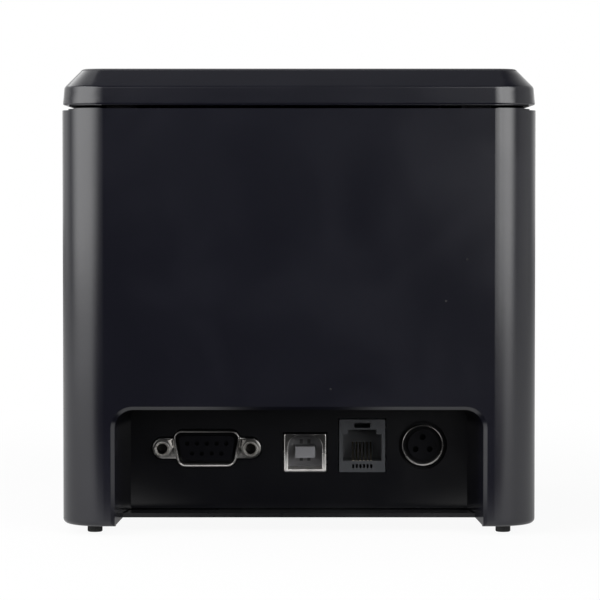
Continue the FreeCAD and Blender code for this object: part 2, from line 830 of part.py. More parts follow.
def deck_ledges():
    """Ribs on the side walls that carry the paper bin's deck."""
    rear = HINGE_Y - EAR_NECK - LEDGE_L
    places = [DECK_FRONT, (DECK_FRONT + rear) / 2, rear]
    ribs = []
    for y in places:
        inner = HALF_W - WALL
        rib = plate_y([(inner - LEDGE_REACH, DECK_Z), (inner + WALL / 2, DECK_Z),
                       (inner + WALL / 2, DECK_Z - LEDGE_T - LEDGE_REACH),
                       (inner - LEDGE_REACH, DECK_Z - LEDGE_T)], y, y + LEDGE_L)
        ribs += pair(rib)
    return ribs


def cover_seats():
    """Ribs on the front wall that carry the front cover's skirt."""
    top = BODY_TOP - COVER_SKIRT_H
    y0 = -HALF_D + WALL / 2
    y1 = -HALF_D + WALL + FIT + COVER_SKIRT_T
    seat = plate_x([(y0, top), (y1, top), (y1, top - SEAT_T), (y0, top - SEAT_T - COVER_SKIRT_T)],
                   SEAT_X - SEAT_W / 2, SEAT_X + SEAT_W / 2)
    return pair(seat)


def make_housing():
    shell = prism(0, RIM_Z, BODY_TOP)
    low = [edge for edge in shell.Edges if edge.BoundBox.ZMax < RIM_Z + FIT]
    shell = shell.makeFillet(BOTTOM_ROUND, low)
    shell = shell.cut(prism(WALL, RIM_Z - SWEEP_MARGIN, BODY_TOP + SWEEP_MARGIN))
    added = [recess_tub(), switch_pocket(WALL)]
    for x, y in boss_places():
        added.append(rod_z(TRAY_TOP, TRAY_TOP + BOSS_H, x, y, BOSS_R))
        side = math.copysign(1, x)
        wall = side * (HALF_W - WALL / 2)
        added.append(block(min(x, wall), max(x, wall), y - WALL / 2, y + WALL / 2, TRAY_TOP,
                           TRAY_TOP + BOSS_H))
    added += deck_ledges() + cover_seats()
    added.append(rod_x(LEVER_X - KNUCKLE_GAP, HALF_W - WALL / 2, LEVER_Y, LEVER_Z, LEVER_PIN_R))
    shell = join([shell] + added)
    shell = shell.cut(recess_hollow())
    cuts = [hinge_relief(), switch_pocket(0), switch_hole(FIT)] + port_holes()
    for x, y in boss_places():
        cuts.append(rod_z(TRAY_TOP - SWEEP_MARGIN, TRAY_TOP + BOSS_H - WALL, x, y, PILOT_R))
    for side in (-1, 1):
        inner = side * (HALF_W - GROOVE_DEEP)
        cuts.append(block(min(inner, side * WIDTH), max(inner, side * WIDTH), -HALF_D, HALF_D,
                          BODY_TOP - GROOVE_BODY, BODY_TOP + SWEEP_MARGIN))
    return shell.cut(cuts)


def foot_places():
    return [(x, y) for x in (-FOOT_X, FOOT_X) for y in (-HALF_D + FOOT_FRONT, HALF_D - FOOT_REAR)]


def post_places():
    x = PLATE_INNER - FLANGE_W / 2
    return [(sx, y) for sx in (-x, x) for y in (MECH_FRONT + MECH_POST_INSET, MECH_REAR - MECH_POST_INSET)]


def board_holes():
    rows = (BOARD_FRONT + BOARD_HOLE_INSET, PLATE_BACK - BOARD_HOLE_REAR)
    return [(x, y) for x in (-BOARD_HOLE_X, BOARD_HOLE_X) for y in rows]


def make_tray():
    tray = prism(WALL + FIT, TRAY_Z, TRAY_TOP)
    mouth = RECESS_W / 2 + RECESS_WALL + FIT
    tray = tray.cut(block(-mouth, mouth, HALF_D - TRAY_SETBACK, HALF_D, -FAR, FAR))
    added = []
    for x, y in board_holes():
        added.append(rod_z(TRAY_TOP, BOARD_Z - BOARD_T, x, y, STANDOFF_R))
    for x, y in post_places():
        added.append(rod_z(TRAY_TOP, MECH_BASE_Z, x, y, MECH_POST_R))
    tray = join([tray] + added)
    cuts = []
    for x, y in board_holes():
        cuts.append(rod_z(TRAY_TOP + SMALL_STEP, BOARD_Z, x, y, PILOT_R))
    for x, y in post_places():
        cuts.append(rod_z(MECH_BASE_Z - BOSS_H, MECH_BASE_Z + SWEEP_MARGIN, x, y, PILOT_R))
    for x, y in boss_places():
        cuts.append(rod_z(0, TRAY_TOP + SWEEP_MARGIN, x, y, SCREW_FREE_R))
    for x, y in foot_places():
        cuts.append(rod_z(0, TRAY_TOP + SWEEP_MARGIN, x, y, FOOT_STEM_R + RUN))
    for index in range(VENT_COUNT):
        x = (index - (VENT_COUNT - 1) / 2) * VENT_PITCH
        cuts.append(rounded_z(x - VENT_W / 2, x + VENT_W / 2, VENT_Y - VENT_L / 2, VENT_Y + VENT_L / 2,
                              VENT_W / 2 * FULL_ROUND, 0, TRAY_TOP + SWEEP_MARGIN))
    return tray.cut(cuts)


def make_feet():
    feet = []
    for x, y in foot_places():
        pad = rod_z(0, TRAY_Z, x, y, FOOT_R)
        low = [edge for edge in pad.Edges if edge.BoundBox.ZMax < FIT]
        pad = pad.makeFillet(FOOT_ROUND, low)
        stem = rod_z(TRAY_Z, TRAY_TOP, x, y, FOOT_STEM_R)
        button = Part.makeCone(FOOT_BUTTON_R, FOOT_STEM_R, FOOT_BUTTON_T, V(x, y, TRAY_TOP), Z_AXIS)
        feet.append(join([pad, stem, button]))
    return Part.makeCompound(feet)


def screw(x, y, seat, down):
    """Pan-head screw; its head lies on the seat height, below it when down is -1."""
    head = rod_z(min(seat, seat + down * HEAD_T), max(seat, seat + down * HEAD_T), x, y, HEAD_R)
    tip = seat - down * (BOSS_H - 2 * WALL)
    shank = rod_z(min(seat, tip), max(seat, tip), x, y, SCREW_R)
    top = seat + down * HEAD_T
    drive = rod_z(min(top, top - down * DRIVE_DEEP), max(top, top - down * DRIVE_DEEP), x, y, DRIVE_R)
    return join([head, shank]).cut(drive)


def make_case_screws():
    return Part.makeCompound([screw(x, y, TRAY_Z, -1) for x, y in boss_places()])


def make_mech_screws():
    return Part.makeCompound([screw(x, y, MECH_BASE_Z + PLATE_T, 1) for x, y in post_places()])


def make_board_screws():
    screws = []
    for x, y in board_holes():
        head = rod_z(BOARD_Z, BOARD_Z + HEAD_T, x, y, HEAD_R)
        shank = rod_z(TRAY_TOP + 2 * SMALL_STEP, BOARD_Z, x, y, SCREW_R)
        drive = rod_z(BOARD_Z + HEAD_T - DRIVE_DEEP, BOARD_Z + HEAD_T, x, y, DRIVE_R)
        screws.append(join([head, shank]).cut(drive))
    return Part.makeCompound(screws)


# Main board and sockets
def make_board():
    board = block(-BOARD_W / 2, BOARD_W / 2, BOARD_FRONT, PLATE_BACK - FIT, BOARD_Z - BOARD_T, BOARD_Z)
    return board.cut([rod_z(0, HEIGHT, x, y, SCREW_FREE_R) for x, y in board_holes()])


def make_board_parts():
    """Processor, memory, inductor, capacitors, buzzer and the plugs of the inner leads."""
    front = BOARD_FRONT + PLUG_D + FIT
    far = PLATE_BACK - CAN_REAR
    middle = (BOARD_FRONT + far) / 2 - CHIP_AHEAD
    chip = block(-CHIP_W / 2, CHIP_W / 2, middle, middle + CHIP_W, BOARD_Z, BOARD_Z + CHIP_T)
    memory_x = -BOARD_W / 4
    memory = block(memory_x - MEMORY_W / 2, memory_x + MEMORY_W / 2, middle, middle + MEMORY_W, BOARD_Z,
                   BOARD_Z + CHIP_T)
    coil_x = BOARD_W / 4
    coil = rounded_z(coil_x - COIL_W / 2, coil_x + COIL_W / 2, middle, middle + COIL_W, COIL_W / 4,
                     BOARD_Z, BOARD_Z + COIL_H)
    cans = [rod_z(BOARD_Z, BOARD_Z + CAN_H, share * BOARD_W, far, CAN_R) for share in (-1 / 3, -1 / 5, 1 / 3)]
    buzzer_x = -BOARD_W / 3
    buzzer_y = front + BUZZER_R
    buzzer = rod_z(BOARD_Z, BOARD_Z + BUZZER_H, buzzer_x, buzzer_y, BUZZER_R)
    buzzer = buzzer.cut(rod_z(BOARD_Z + BUZZER_H - CHIP_T, BOARD_Z + BUZZER_H, buzzer_x, buzzer_y, SCREW_R))
    plugs = []
    for share, ways in ((-1 / 8, 10), (1 / 8, 6), (1 / 3, 6)):
        width = ways * PLUG_PITCH
        plugs.append(block(share * BOARD_W - width / 2, share * BOARD_W + width / 2, BOARD_FRONT + FIT,
                           front, BOARD_Z, BOARD_Z + PLUG_H))
    return Part.makeCompound([chip, memory, coil, buzzer] + cans + plugs)


def serial_block_y():
    return PLATE_BACK - FIT


def make_serial_shell():
    back = serial_block_y()
    front = PORT_Y + SERIAL_STAND
    tube = serial_d(SERIAL_D_W, SERIAL_D_H, SERIAL_D_R, back, front)
    ears = serial_ears(0, PORT_Y + SERIAL_EAR_STAND - SERIAL_EAR_T, PORT_Y + SERIAL_EAR_STAND)
    shell = join([tube, ears])
    rim = [edge for edge in shell.Edges if edge.BoundBox.YMin > front - RUN]
    shell = shell.makeFillet(SERIAL_LIP, rim)
    hole = serial_d(SERIAL_D_W - 2 * SERIAL_SHELL_T, SERIAL_D_H - 2 * SERIAL_SHELL_T,
                    SERIAL_D_R - SERIAL_SHELL_T, back - SWEEP_MARGIN, front + SWEEP_MARGIN)
    cuts = [hole]
    for x in jackscrew_places():
        cuts.append(rod_y(back, front, x, SERIAL_Z, JACKSCREW_SHANK_R + RUN))
    return shell.cut(cuts)


def jackscrew_places():
    return [SERIAL_X - SERIAL_SPAN / 2, SERIAL_X + SERIAL_SPAN / 2]


def make_serial_insert():
    """Plastic body on the board, with the holed tongue that stands inside the metal shell."""
    back = serial_block_y()
    inset = SERIAL_SHELL_T + SERIAL_PLUG_GAP
    body = block(SERIAL_X - SERIAL_EAR_W / 2, SERIAL_X + SERIAL_EAR_W / 2, back - SERIAL_BLOCK_D, back,
                 BOARD_Z, SERIAL_Z + SERIAL_D_H / 2 + SERIAL_SHELL_T)
    face = PORT_Y + SERIAL_STAND - SERIAL_SHELL_T
    tongue = serial_d(SERIAL_D_W - 2 * inset, SERIAL_D_H - 2 * inset, SERIAL_D_R / 2, back, face)
    insert = join([body, tongue])
    cuts = []
    for row, count in ((1, 5), (-1, 4)):
        for index in range(count):
            x = SERIAL_X + (index - (count - 1) / 2) * SERIAL_PIN_PITCH
            z = SERIAL_Z + row * SERIAL_ROW_GAP / 2
            cuts.append(rod_y(face - SERIAL_PIN_DEEP, face + SWEEP_MARGIN, x, z, SERIAL_PIN_R))
    for x in jackscrew_places():
        cuts.append(rod_y(back - JACKSCREW_SHANK_L, back + SWEEP_MARGIN, x, SERIAL_Z,
                          JACKSCREW_SHANK_R + RUN))
    return insert.cut(cuts)


def make_jackscrews():
    seat = PORT_Y + SERIAL_EAR_STAND
    screws = []
    for x in jackscrew_places():
        corner = JACKSCREW_AF / math.sqrt(3)
        points = [(x + corner * math.cos(math.pi * k / 3), SERIAL_Z + corner * math.sin(math.pi * k / 3))
                  for k in range(6)]
        head = plate_y(points, seat, seat + JACKSCREW_L)
        tip = JACKSCREW_AF / 2 - SERIAL_PIN_R / 2
        wide = corner + JACKSCREW_L
        foot = V(x, seat + JACKSCREW_L - (wide - tip), SERIAL_Z)
        nose = Part.makeCone(wide, tip, wide - tip, foot, Y_AXIS)
        head = head.common(nose)
        shank = rod_y(serial_block_y() - JACKSCREW_SHANK_L, seat, x, SERIAL_Z, JACKSCREW_SHANK_R)
        hole = rod_y(seat + JACKSCREW_L - JACKSCREW_DEEP, seat + JACKSCREW_L + SWEEP_MARGIN, x, SERIAL_Z,
                     JACKSCREW_R)
        sink = JACKSCREW_SINK_R - JACKSCREW_R
        throat = V(x, seat + JACKSCREW_L - sink, SERIAL_Z)
        mouth = Part.makeCone(JACKSCREW_R, JACKSCREW_SINK_R, sink, throat, Y_AXIS)
        screws.append(join([head, shank]).cut([hole, mouth]))
    return Part.makeCompound(screws)


def usb_mouth(y0, y1):
    """Mouth of the data socket: square below, rounded off above."""
    left = USB_X - USB_W / 2 + USB_WALL
    right = USB_X + USB_W / 2 - USB_WALL
    low = BOARD_Z + USB_SILL
    high = BOARD_Z + USB_H - USB_LINTEL
    shape = block(left, right, y0, y1, low, high)
    upper = [edge for edge in shape.Edges if edge.BoundBox.ZMin > high - RUN and edge.BoundBox.YLength > RUN]
    return shape.makeFillet(USB_ROUND, upper)


def make_usb_shell():
    front = PORT_Y + USB_STAND
    back = front - USB_DEEP
    can = rounded_y(USB_X - USB_W / 2, USB_X + USB_W / 2, BOARD_Z, BOARD_Z + USB_H, USB_WALL / 2, back, front)
    rim = [edge for edge in can.Edges if edge.BoundBox.YMin > front - RUN]
    can = can.makeFillet(USB_LIP, rim)
    return can.cut(usb_mouth(back - SWEEP_MARGIN, front + SWEEP_MARGIN))


def make_usb_insert():
    front = PORT_Y + USB_STAND
    back = front - USB_DEEP
    floor = usb_mouth(back, front - USB_FLOOR)
    middle = BOARD_Z + USB_H / 2
    tongue = block(USB_X - USB_TONGUE_W / 2, USB_X + USB_TONGUE_W / 2, front - USB_FLOOR,
                   front - USB_TONGUE_BACK, middle - USB_TONGUE_H / 2, middle + USB_TONGUE_H / 2)
    return join([floor, tongue])


def jack_ways():
    return [JACK_X + (way - (JACK_WAYS - 1) / 2) * JACK_PITCH for way in range(JACK_WAYS)]


def make_jack():
    front = PORT_Y + FIT
    back = front - JACK_DEEP
    low = BOARD_Z + JACK_BORE_Z
    high = low + JACK_BORE_H
    inner = front - JACK_BORE_D
    body = rounded_y(JACK_X - JACK_W / 2, JACK_X + JACK_W / 2, BOARD_Z, BOARD_Z + JACK_H, FIT, back, front)
    mouth = front + SWEEP_MARGIN
    cuts = [block(JACK_X - JACK_BORE_W / 2, JACK_X + JACK_BORE_W / 2, inner, mouth, low, high),
            block(JACK_X - JACK_STEP_W / 2, JACK_X + JACK_STEP_W / 2, inner, mouth, low, high + JACK_STEP_H),
            block(JACK_X - JACK_LATCH_W / 2, JACK_X + JACK_LATCH_W / 2, inner, mouth,
                  high + JACK_STEP_H + JACK_LATCH_BAND, high + JACK_STEP_H + JACK_LATCH_BAND + JACK_LATCH_H)]
    for x in jack_ways():
        cuts.append(block(x - JACK_SLIT / 2, x + JACK_SLIT / 2, inner, mouth, BOARD_Z + JACK_COMB_Z,
                          BOARD_Z + JACK_COMB_Z + JACK_COMB_H))
        cuts.append(block(x - JACK_SLIT / 2, x + JACK_SLIT / 2, inner, front - SMALL_STEP,
                          BOARD_Z + JACK_COMB_Z, low + SWEEP_MARGIN))
    return body.cut(cuts)


def make_jack_wires():
    """Sprung contacts: each comes up out of its slit and slopes to the back of the jack."""
    front = PORT_Y + FIT - 2 * SMALL_STEP
    low = BOARD_Z + JACK_COMB_Z + JACK_COMB_H
    floor = BOARD_Z + JACK_BORE_Z
    back = front - JACK_WIRE_REACH
    wires = []
    for x in jack_ways():
        points = [(front, low), (front, floor), (back, floor + JACK_WIRE_RISE),
                  (back - JACK_WIRE, floor + JACK_WIRE_RISE), (front - JACK_WIRE, floor - JACK_WIRE / 2),
                  (front - JACK_WIRE, low)]
        wires.append(plate_x(points, x - JACK_WIRE / 2, x + JACK_WIRE / 2))
    return Part.makeCompound(wires)


def make_power_ring():
    back = PLATE_BACK - FIT
    front = PORT_Y + POWER_STAND
    tube = rod_y(back, front, POWER_X, POWER_Z, POWER_RING_R)
    rim = [edge for edge in tube.Edges if edge.BoundBox.YMin > front - RUN]
    tube = tube.makeFillet(POWER_LIP, rim)
    return tube.cut(rod_y(back, front, POWER_X, POWER_Z, POWER_RING_R - POWER_RING_T))


def make_power_insert():
    """Plastic body on the board, with a keyed three-hole core inside the ring."""
    back = PLATE_BACK - FIT
    face = PORT_Y + POWER_STAND - POWER_CORE_BACK
    body = block(POWER_X - POWER_BLOCK_W / 2, POWER_X + POWER_BLOCK_W / 2, back - POWER_BLOCK_D, back,
                 BOARD_Z, POWER_Z + POWER_BLOCK_W / 2)
    core = rod_y(back, face, POWER_X, POWER_Z, POWER_CORE_R)
    key_x = POWER_X - POWER_CORE_R
    key = block(key_x - SMALL_STEP, key_x + SMALL_STEP, back, face + SWEEP_MARGIN,
                POWER_Z - POWER_KEY_W / 2, POWER_Z + POWER_KEY_W / 2)
    core = core.cut(key)
    pins = []
    for turn in (90, 210, 330):
        angle = math.radians(turn)
        pins.append(rod_y(face - POWER_PIN_DEEP, face + SWEEP_MARGIN,
                          POWER_X + POWER_PIN_CIRCLE * math.cos(angle),
                          POWER_Z + POWER_PIN_CIRCLE * math.sin(angle), POWER_PIN_R))
    return join([body, core]).cut(pins)


# Paper bin, with its deck and the fixed halves of the hinge
def make_bin():
    half = BIN_HALF + BIN_T
    radius = BIN_R + BIN_T
    trough = join([rod_x(-half, half, BIN_Y, BIN_Z, radius),
                   block(-half, half, BIN_Y - radius, BIN_Y + radius, BIN_Z, DECK_TOP)])
    hollow = join([rod_x(-BIN_HALF, BIN_HALF, BIN_Y, BIN_Z, BIN_R),
                   block(-BIN_HALF, BIN_HALF, BIN_Y - BIN_R, BIN_Y + BIN_R, BIN_Z, DECK_TOP + SWEEP_MARGIN)])
    trough = trough.cut([hollow, block(-half, half, -HALF_D, HALF_D, DECK_TOP, FAR)])
    front = BIN_Y - BIN_R
    trough = trough.cut(block(-BIN_HALF, BIN_HALF, front - 2 * BIN_T, front + SWEEP_MARGIN, BIN_LIP_Z,
                              HEIGHT))
    ramp = plate_x([(front, BIN_LIP_Z), (RAMP_END_Y, RAMP_END_Z), (RAMP_END_Y, RAMP_END_Z - BIN_T),
                    (front - BIN_T, BIN_LIP_Z - 2 * BIN_T), (front, BIN_LIP_Z - 2 * BIN_T)], -half, half)
    added = [ramp]
    cheek = plate_x([(front, BIN_LIP_Z - 2 * BIN_T), (front, DECK_Z), (MECH_REAR, DECK_Z),
                     (RAMP_END_Y, RAMP_END_Z + BIN_T), (RAMP_END_Y, RAMP_END_Z - BIN_T),
                     (front - BIN_T, BIN_LIP_Z - 2 * BIN_T)], BIN_HALF, half)
    added += pair(cheek)
    deck = block(half - BIN_T / 2, HALF_W - WALL - FIT, DECK_FRONT, HINGE_Y - EAR_NECK, DECK_Z, DECK_TOP)
    added += pair(deck)
    ear_front = HINGE_Y - EAR_REACH
    neck = HINGE_Y - EAR_NECK
    low = HINGE_Z - HINGE_EYE_R
    arm = plate_x([(ear_front, DECK_Z), (neck, DECK_Z), (neck, low), (HINGE_Y, low),
                   (HINGE_Y, HINGE_Z + HINGE_EYE_R), (neck, HINGE_Z + HINGE_EYE_R)], EAR_X0, EAR_X1)
    eye = rod_x(EAR_X0, EAR_X1, HINGE_Y, HINGE_Z, HINGE_EYE_R)
    added += pair(join([arm, eye]))
    sweep = rod_x(-FAR, FAR, HINGE_Y, HINGE_Z, math.hypot(HINGE_INSET, HINGE_RISE) + 2 * RELIEF)
    trough = join([trough.cut(sweep)] + added)
    cuts = [rod_x(-HALF_W, HALF_W, HINGE_Y, HINGE_Z, HINGE_PIN_R + RUN / 2), sensor_body(FIT)]
    return trough.cut(cuts)


def sensor_body(room):
    """Reflective paper sensor let into the ramp."""
    y = (BIN_Y - BIN_R + RAMP_END_Y) / 2
    z = (BIN_LIP_Z + RAMP_END_Z) / 2
    half = SENSOR_W / 2 + room
    slope = math.degrees(math.atan2(RAMP_END_Z - BIN_LIP_Z, RAMP_END_Y - BIN_Y + BIN_R))
    shape = block(SEAT_X - half, SEAT_X + half, -half, half, 0, 3 * BIN_T)
    shape.rotate(V(0, 0, 0), X_AXIS, slope)
    shape.translate(V(0, y, z))
    return shape


def make_hinge_pins():
    x0 = EAR_X0 - KNUCKLE_GAP - KNUCKLE_T
    x1 = EAR_X1 + KNUCKLE_GAP + KNUCKLE_T
    return Part.makeCompound(pair(rod_x(x0, x1, HINGE_Y, HINGE_Z, HINGE_PIN_R)))


# Print mechanism
def make_mech_frame():
    """Bent sheet frame: side plates with open slots for the platen, feet and the spring bracket."""
    crown = BODY_TOP - MECH_TOP_GAP
    outline_points = [(MECH_FRONT, MECH_BASE_Z), (MECH_REAR, MECH_BASE_Z), (MECH_REAR, PLATEN_Z - PLATEN_R),
                      (PLATEN_Y + 2 * PLATEN_R, crown), (PLATEN_Y - 2 * PLATEN_R, crown),
                      (MECH_FRONT, PLATEN_Z - 2 * PLATEN_R)]
    side = plate_x(outline_points, PLATE_INNER, PLATE_OUTER)
    slot_r = BUSH_R + BUSH_SLOT_GAP
    slot = join([rod_x(PLATE_INNER, PLATE_OUTER, 0, 0, slot_r),
                 block(PLATE_INNER, PLATE_OUTER, -slot_r, slot_r, 0, SLOT_REACH)])
    slot.rotate(V(0, 0, 0), X_AXIS, math.degrees(LIFT_ANGLE) - 90)
    side = side.cut(moved(slot, PLATEN_Y, PLATEN_Z))
    foot = block(PLATE_INNER - FLANGE_W, PLATE_INNER + PLATE_T / 2, MECH_FRONT, MECH_REAR, MECH_BASE_Z,
                 MECH_BASE_Z + PLATE_T)
    sides = pair(join([side, foot]))
    bracket = lean(block(-PLATE_INNER - PLATE_T / 2, PLATE_INNER + PLATE_T / 2, BRACKET_Y - PLATE_T,
                         BRACKET_Y, BRACKET_Z0, BRACKET_Z1))
    frame = join(sides + [bracket])
    pivot_y, pivot_z = head_pivot()
    cuts = [rod_x(-HALF_W, HALF_W, pivot_y, pivot_z, HEAD_SHAFT_R + RUN),
            rod_x(0, HALF_W, MOTOR_Y, MOTOR_Z, MOTOR_HOLE_R),
            rod_x(0, HALF_W, WHEEL_Y, WHEEL_Z, GEAR_STUB_R + RUN)]
    for x, y in post_places():
        cuts.append(rod_z(0, MECH_BASE_Z + BOSS_R, x, y, SCREW_FREE_R))
    return frame.cut(cuts)


def head_face():
    """Leaning y of the ceramic strip's front face."""
    return -PLATEN_R - PAPER_GAP


def head_pivot():
    middle = head_face() - HEAD_STRIP_T - HEAD_SINK_T / 2
    return lean_point(middle, HEAD_PIVOT_Z)


def make_thermal_head():
    """Ceramic strip with the driver cover below the heating line."""
    half = PLATEN_L / 2
    face = head_face()
    strip = block(-half, half, face - HEAD_STRIP_T, face, HEAD_STRIP_Z0, HEAD_STRIP_Z1)
    cover = plate_x([(face, HEAD_STRIP_Z0), (face + HEAD_DRIVER_T, HEAD_STRIP_Z0 + FIT),
                     (face + HEAD_DRIVER_T, HEAD_STRIP_Z0 + HEAD_DRIVER_H - HEAD_DRIVER_T),
                     (face, HEAD_STRIP_Z0 + HEAD_DRIVER_H)], -half, half)
    return lean(join([strip, cover]))


def make_heatsink():
    half = HEAD_SINK_W / 2
    front = head_face() - HEAD_STRIP_T
    back = front - HEAD_SINK_T
    plate = block(-half, half, back, front, HEAD_SINK_Z0, HEAD_SINK_Z1)
    slots = []
    for index in range(HEAD_FIN_COUNT):
        x = (index / (HEAD_FIN_COUNT - 1) * 2 - 1) * (half - HEAD_FIN_SIDE)
        slots.append(block(x - HEAD_FIN_SLOT / 2, x + HEAD_FIN_SLOT / 2, back, back + HEAD_FIN_DEEP,
                           HEAD_SINK_Z0, SPRING_Z - SPRING_HALF))
    plate = plate.cut(slots)
    middle = (front + back) / 2
    lug = rod_x(half - FLANGE_W, half, middle, HEAD_PIVOT_Z, HEAD_LUG_R)
    sink = join([plate] + pair(lug))
    return lean(sink.cut(rod_x(-half, half, middle, HEAD_PIVOT_Z, HEAD_SHAFT_R + RUN)))


def make_head_shaft():
    y, z = head_pivot()
    reach = PLATE_OUTER + SMALL_STEP
    return rod_x(-reach, reach, y, z, HEAD_SHAFT_R)


def make_head_spring():
    """Bowed leaf between the bracket and the back of the heat sink."""
    ends = BRACKET_Y
    crown = head_face() - HEAD_STRIP_T - HEAD_SINK_T
    low = SPRING_Z - SPRING_HALF
    high = SPRING_Z + SPRING_HALF
    half = SPRING_W / 2
    outer = Part.Arc(V(-half, ends, low), V(-half, crown, SPRING_Z), V(-half, ends, high))
    inner = Part.Arc(V(-half, ends, high - SPRING_T), V(-half, crown - SPRING_T, SPRING_Z),
                     V(-half, ends, low + SPRING_T))
    edges = [outer.toShape(), Part.makeLine(V(-half, ends, high), V(-half, ends, high - SPRING_T)),
             inner.toShape(), Part.makeLine(V(-half, ends, low + SPRING_T), V(-half, ends, low))]
    return lean(Part.Face(Part.Wire(edges)).extrude(V(SPRING_W, 0, 0)))


# Platen and feed gears
def make_platen_rubber():
    half = PLATEN_L / 2
    tube = rod_x(-half, half, PLATEN_Y, PLATEN_Z, PLATEN_R)
    return tube.cut(rod_x(-half, half, PLATEN_Y, PLATEN_Z, PLATEN_SHAFT_R))


def make_platen_shaft():
    return rod_x(-PLATE_OUTER - SMALL_STEP, GEAR_X1, PLATEN_Y, PLATEN_Z, PLATEN_SHAFT_R)


def make_platen_gear():
    wheel = gear(PLATEN_TEETH, MODULE, WHEEL_ANGLE, GEAR_X0, GEAR_X1)
    web = GEAR_FACE / 3
    ring_r = MODULE * (PLATEN_TEETH / 2 - 2 * DEDENDUM)
    hub = rod_x(GEAR_X1 - web, GEAR_X1, 0, 0, 2 * PLATEN_SHAFT_R)
    dish = rod_x(GEAR_X1 - web, GEAR_X1, 0, 0, ring_r).cut(hub)
    wheel = wheel.cut([dish, rod_x(GEAR_X0, GEAR_X1, 0, 0, PLATEN_SHAFT_R)])
    return moved(wheel, PLATEN_Y, PLATEN_Z)


def make_bushes():
    x0 = ARM_X0
    x1 = PLATE_OUTER + PLATE_T / 2
    ring_shape = rod_x(x0, x1, PLATEN_Y, PLATEN_Z, BUSH_R)
    return Part.makeCompound(pair(ring_shape.cut(rod_x(x0, x1, PLATEN_Y, PLATEN_Z, PLATEN_SHAFT_R + RUN))))


def small_phase():
    return WHEEL_ANGLE + math.pi + math.pi / SMALL_TEETH


def make_reduction_gear():
    small = gear(SMALL_TEETH, MODULE, small_phase(), GEAR_X0, BIG_X0)
    big = gear(BIG_TEETH, MODULE, MOTOR_ANGLE, BIG_X0, BIG_X1)
    dish_r = MODULE * (BIG_TEETH / 2 - 3)
    hub_r = MODULE * SMALL_TEETH / 2
    dish = rod_x(BIG_X1 - BIG_FACE / 3, BIG_X1, 0, 0, dish_r).cut(rod_x(BIG_X0, BIG_X1, 0, 0, hub_r))
    wheel = join([small, big]).cut([dish, rod_x(GEAR_X0, BIG_X1, 0, 0, GEAR_STUB_R + RUN)])
    return moved(wheel, WHEEL_Y, WHEEL_Z)


def make_gear_stub():
    """Stepped stub riveted in the side plate, with a head that keeps the wheel on."""
    stub = rod_x(PLATE_INNER, BIG_X1 + FIT, WHEEL_Y, WHEEL_Z, GEAR_STUB_R)
    shoulder = rod_x(PLATE_OUTER, GEAR_X0 - FIT, WHEEL_Y, WHEEL_Z, 2 * GEAR_STUB_R)
    head = rod_x(BIG_X1 + FIT, BIG_X1 + FIT + PLATE_T, WHEEL_Y, WHEEL_Z, 1.5 * GEAR_STUB_R)
    return join([stub, shoulder, head])


def make_motor_pinion():
    wheel = gear(PINION_TEETH, MODULE, MOTOR_ANGLE + math.pi + math.pi / PINION_TEETH, BIG_X0 - FIT,
                 BIG_X1 + FIT)
    return moved(wheel.cut(rod_x(0, HALF_W, 0, 0, MOTOR_SHAFT_R)), MOTOR_Y, MOTOR_Z)


def make_feed_motor():
    """Can stepper behind the side plate, with a two-eared flange and a bored nose."""
    back = PLATE_INNER - MOTOR_L
    can = rod_x(back, PLATE_INNER - MOTOR_EAR_T, MOTOR_Y, MOTOR_Z, MOTOR_R)
    rim = [edge for edge in can.Edges if edge.BoundBox.XMax < back + FIT]
    can = can.makeFillet(MOTOR_EAR_T, rim)
    ears = rod_x(PLATE_INNER - MOTOR_EAR_T, PLATE_INNER, MOTOR_Y, MOTOR_Z, MOTOR_R)
    half = MOTOR_EAR_SPAN / 2
    bar = block(PLATE_INNER - MOTOR_EAR_T, PLATE_INNER, MOTOR_Y - half, MOTOR_Y + half, MOTOR_Z - MOTOR_EAR_R,
                MOTOR_Z + MOTOR_EAR_R)
    tips = [rod_x(PLATE_INNER - MOTOR_EAR_T, PLATE_INNER, MOTOR_Y + end * half, MOTOR_Z, MOTOR_EAR_R)
            for end in (-1, 1)]
    nose = rod_x(PLATE_INNER, PLATE_OUTER, MOTOR_Y, MOTOR_Z, MOTOR_HOLE_R - FIT)
    motor = join([can, ears, bar, nose] + tips)
    holes = [rod_x(0, PLATE_INNER, MOTOR_Y + end * half, MOTOR_Z, SCREW_FREE_R) for end in (-1, 1)]
    bore = rod_x(PLATE_INNER - MOTOR_L / 2, PLATE_OUTER, MOTOR_Y, MOTOR_Z, MOTOR_SHAFT_R + RUN)
    return motor.cut(holes + [bore])


def make_motor_shaft():
    return rod_x(PLATE_INNER - MOTOR_L / 2 + FIT, BIG_X1 + FIT, MOTOR_Y, MOTOR_Z, MOTOR_SHAFT_R)


# Cutter, drawn in the leaning frame
def rack_span():
    pitch = math.pi * MODULE
    return CUT_SHAFT_Y - BLADE_STROKE - 2 * pitch, CUT_SHAFT_Y + 2 * pitch


def cutter_motor_x():
    """Front face of the cutter motor, on the bracket beside the driven wheel."""
    return CUT_GEAR_X + CUT_GEAR_FACE + SMALL_STEP + CUT_MOTOR_PLATE_T


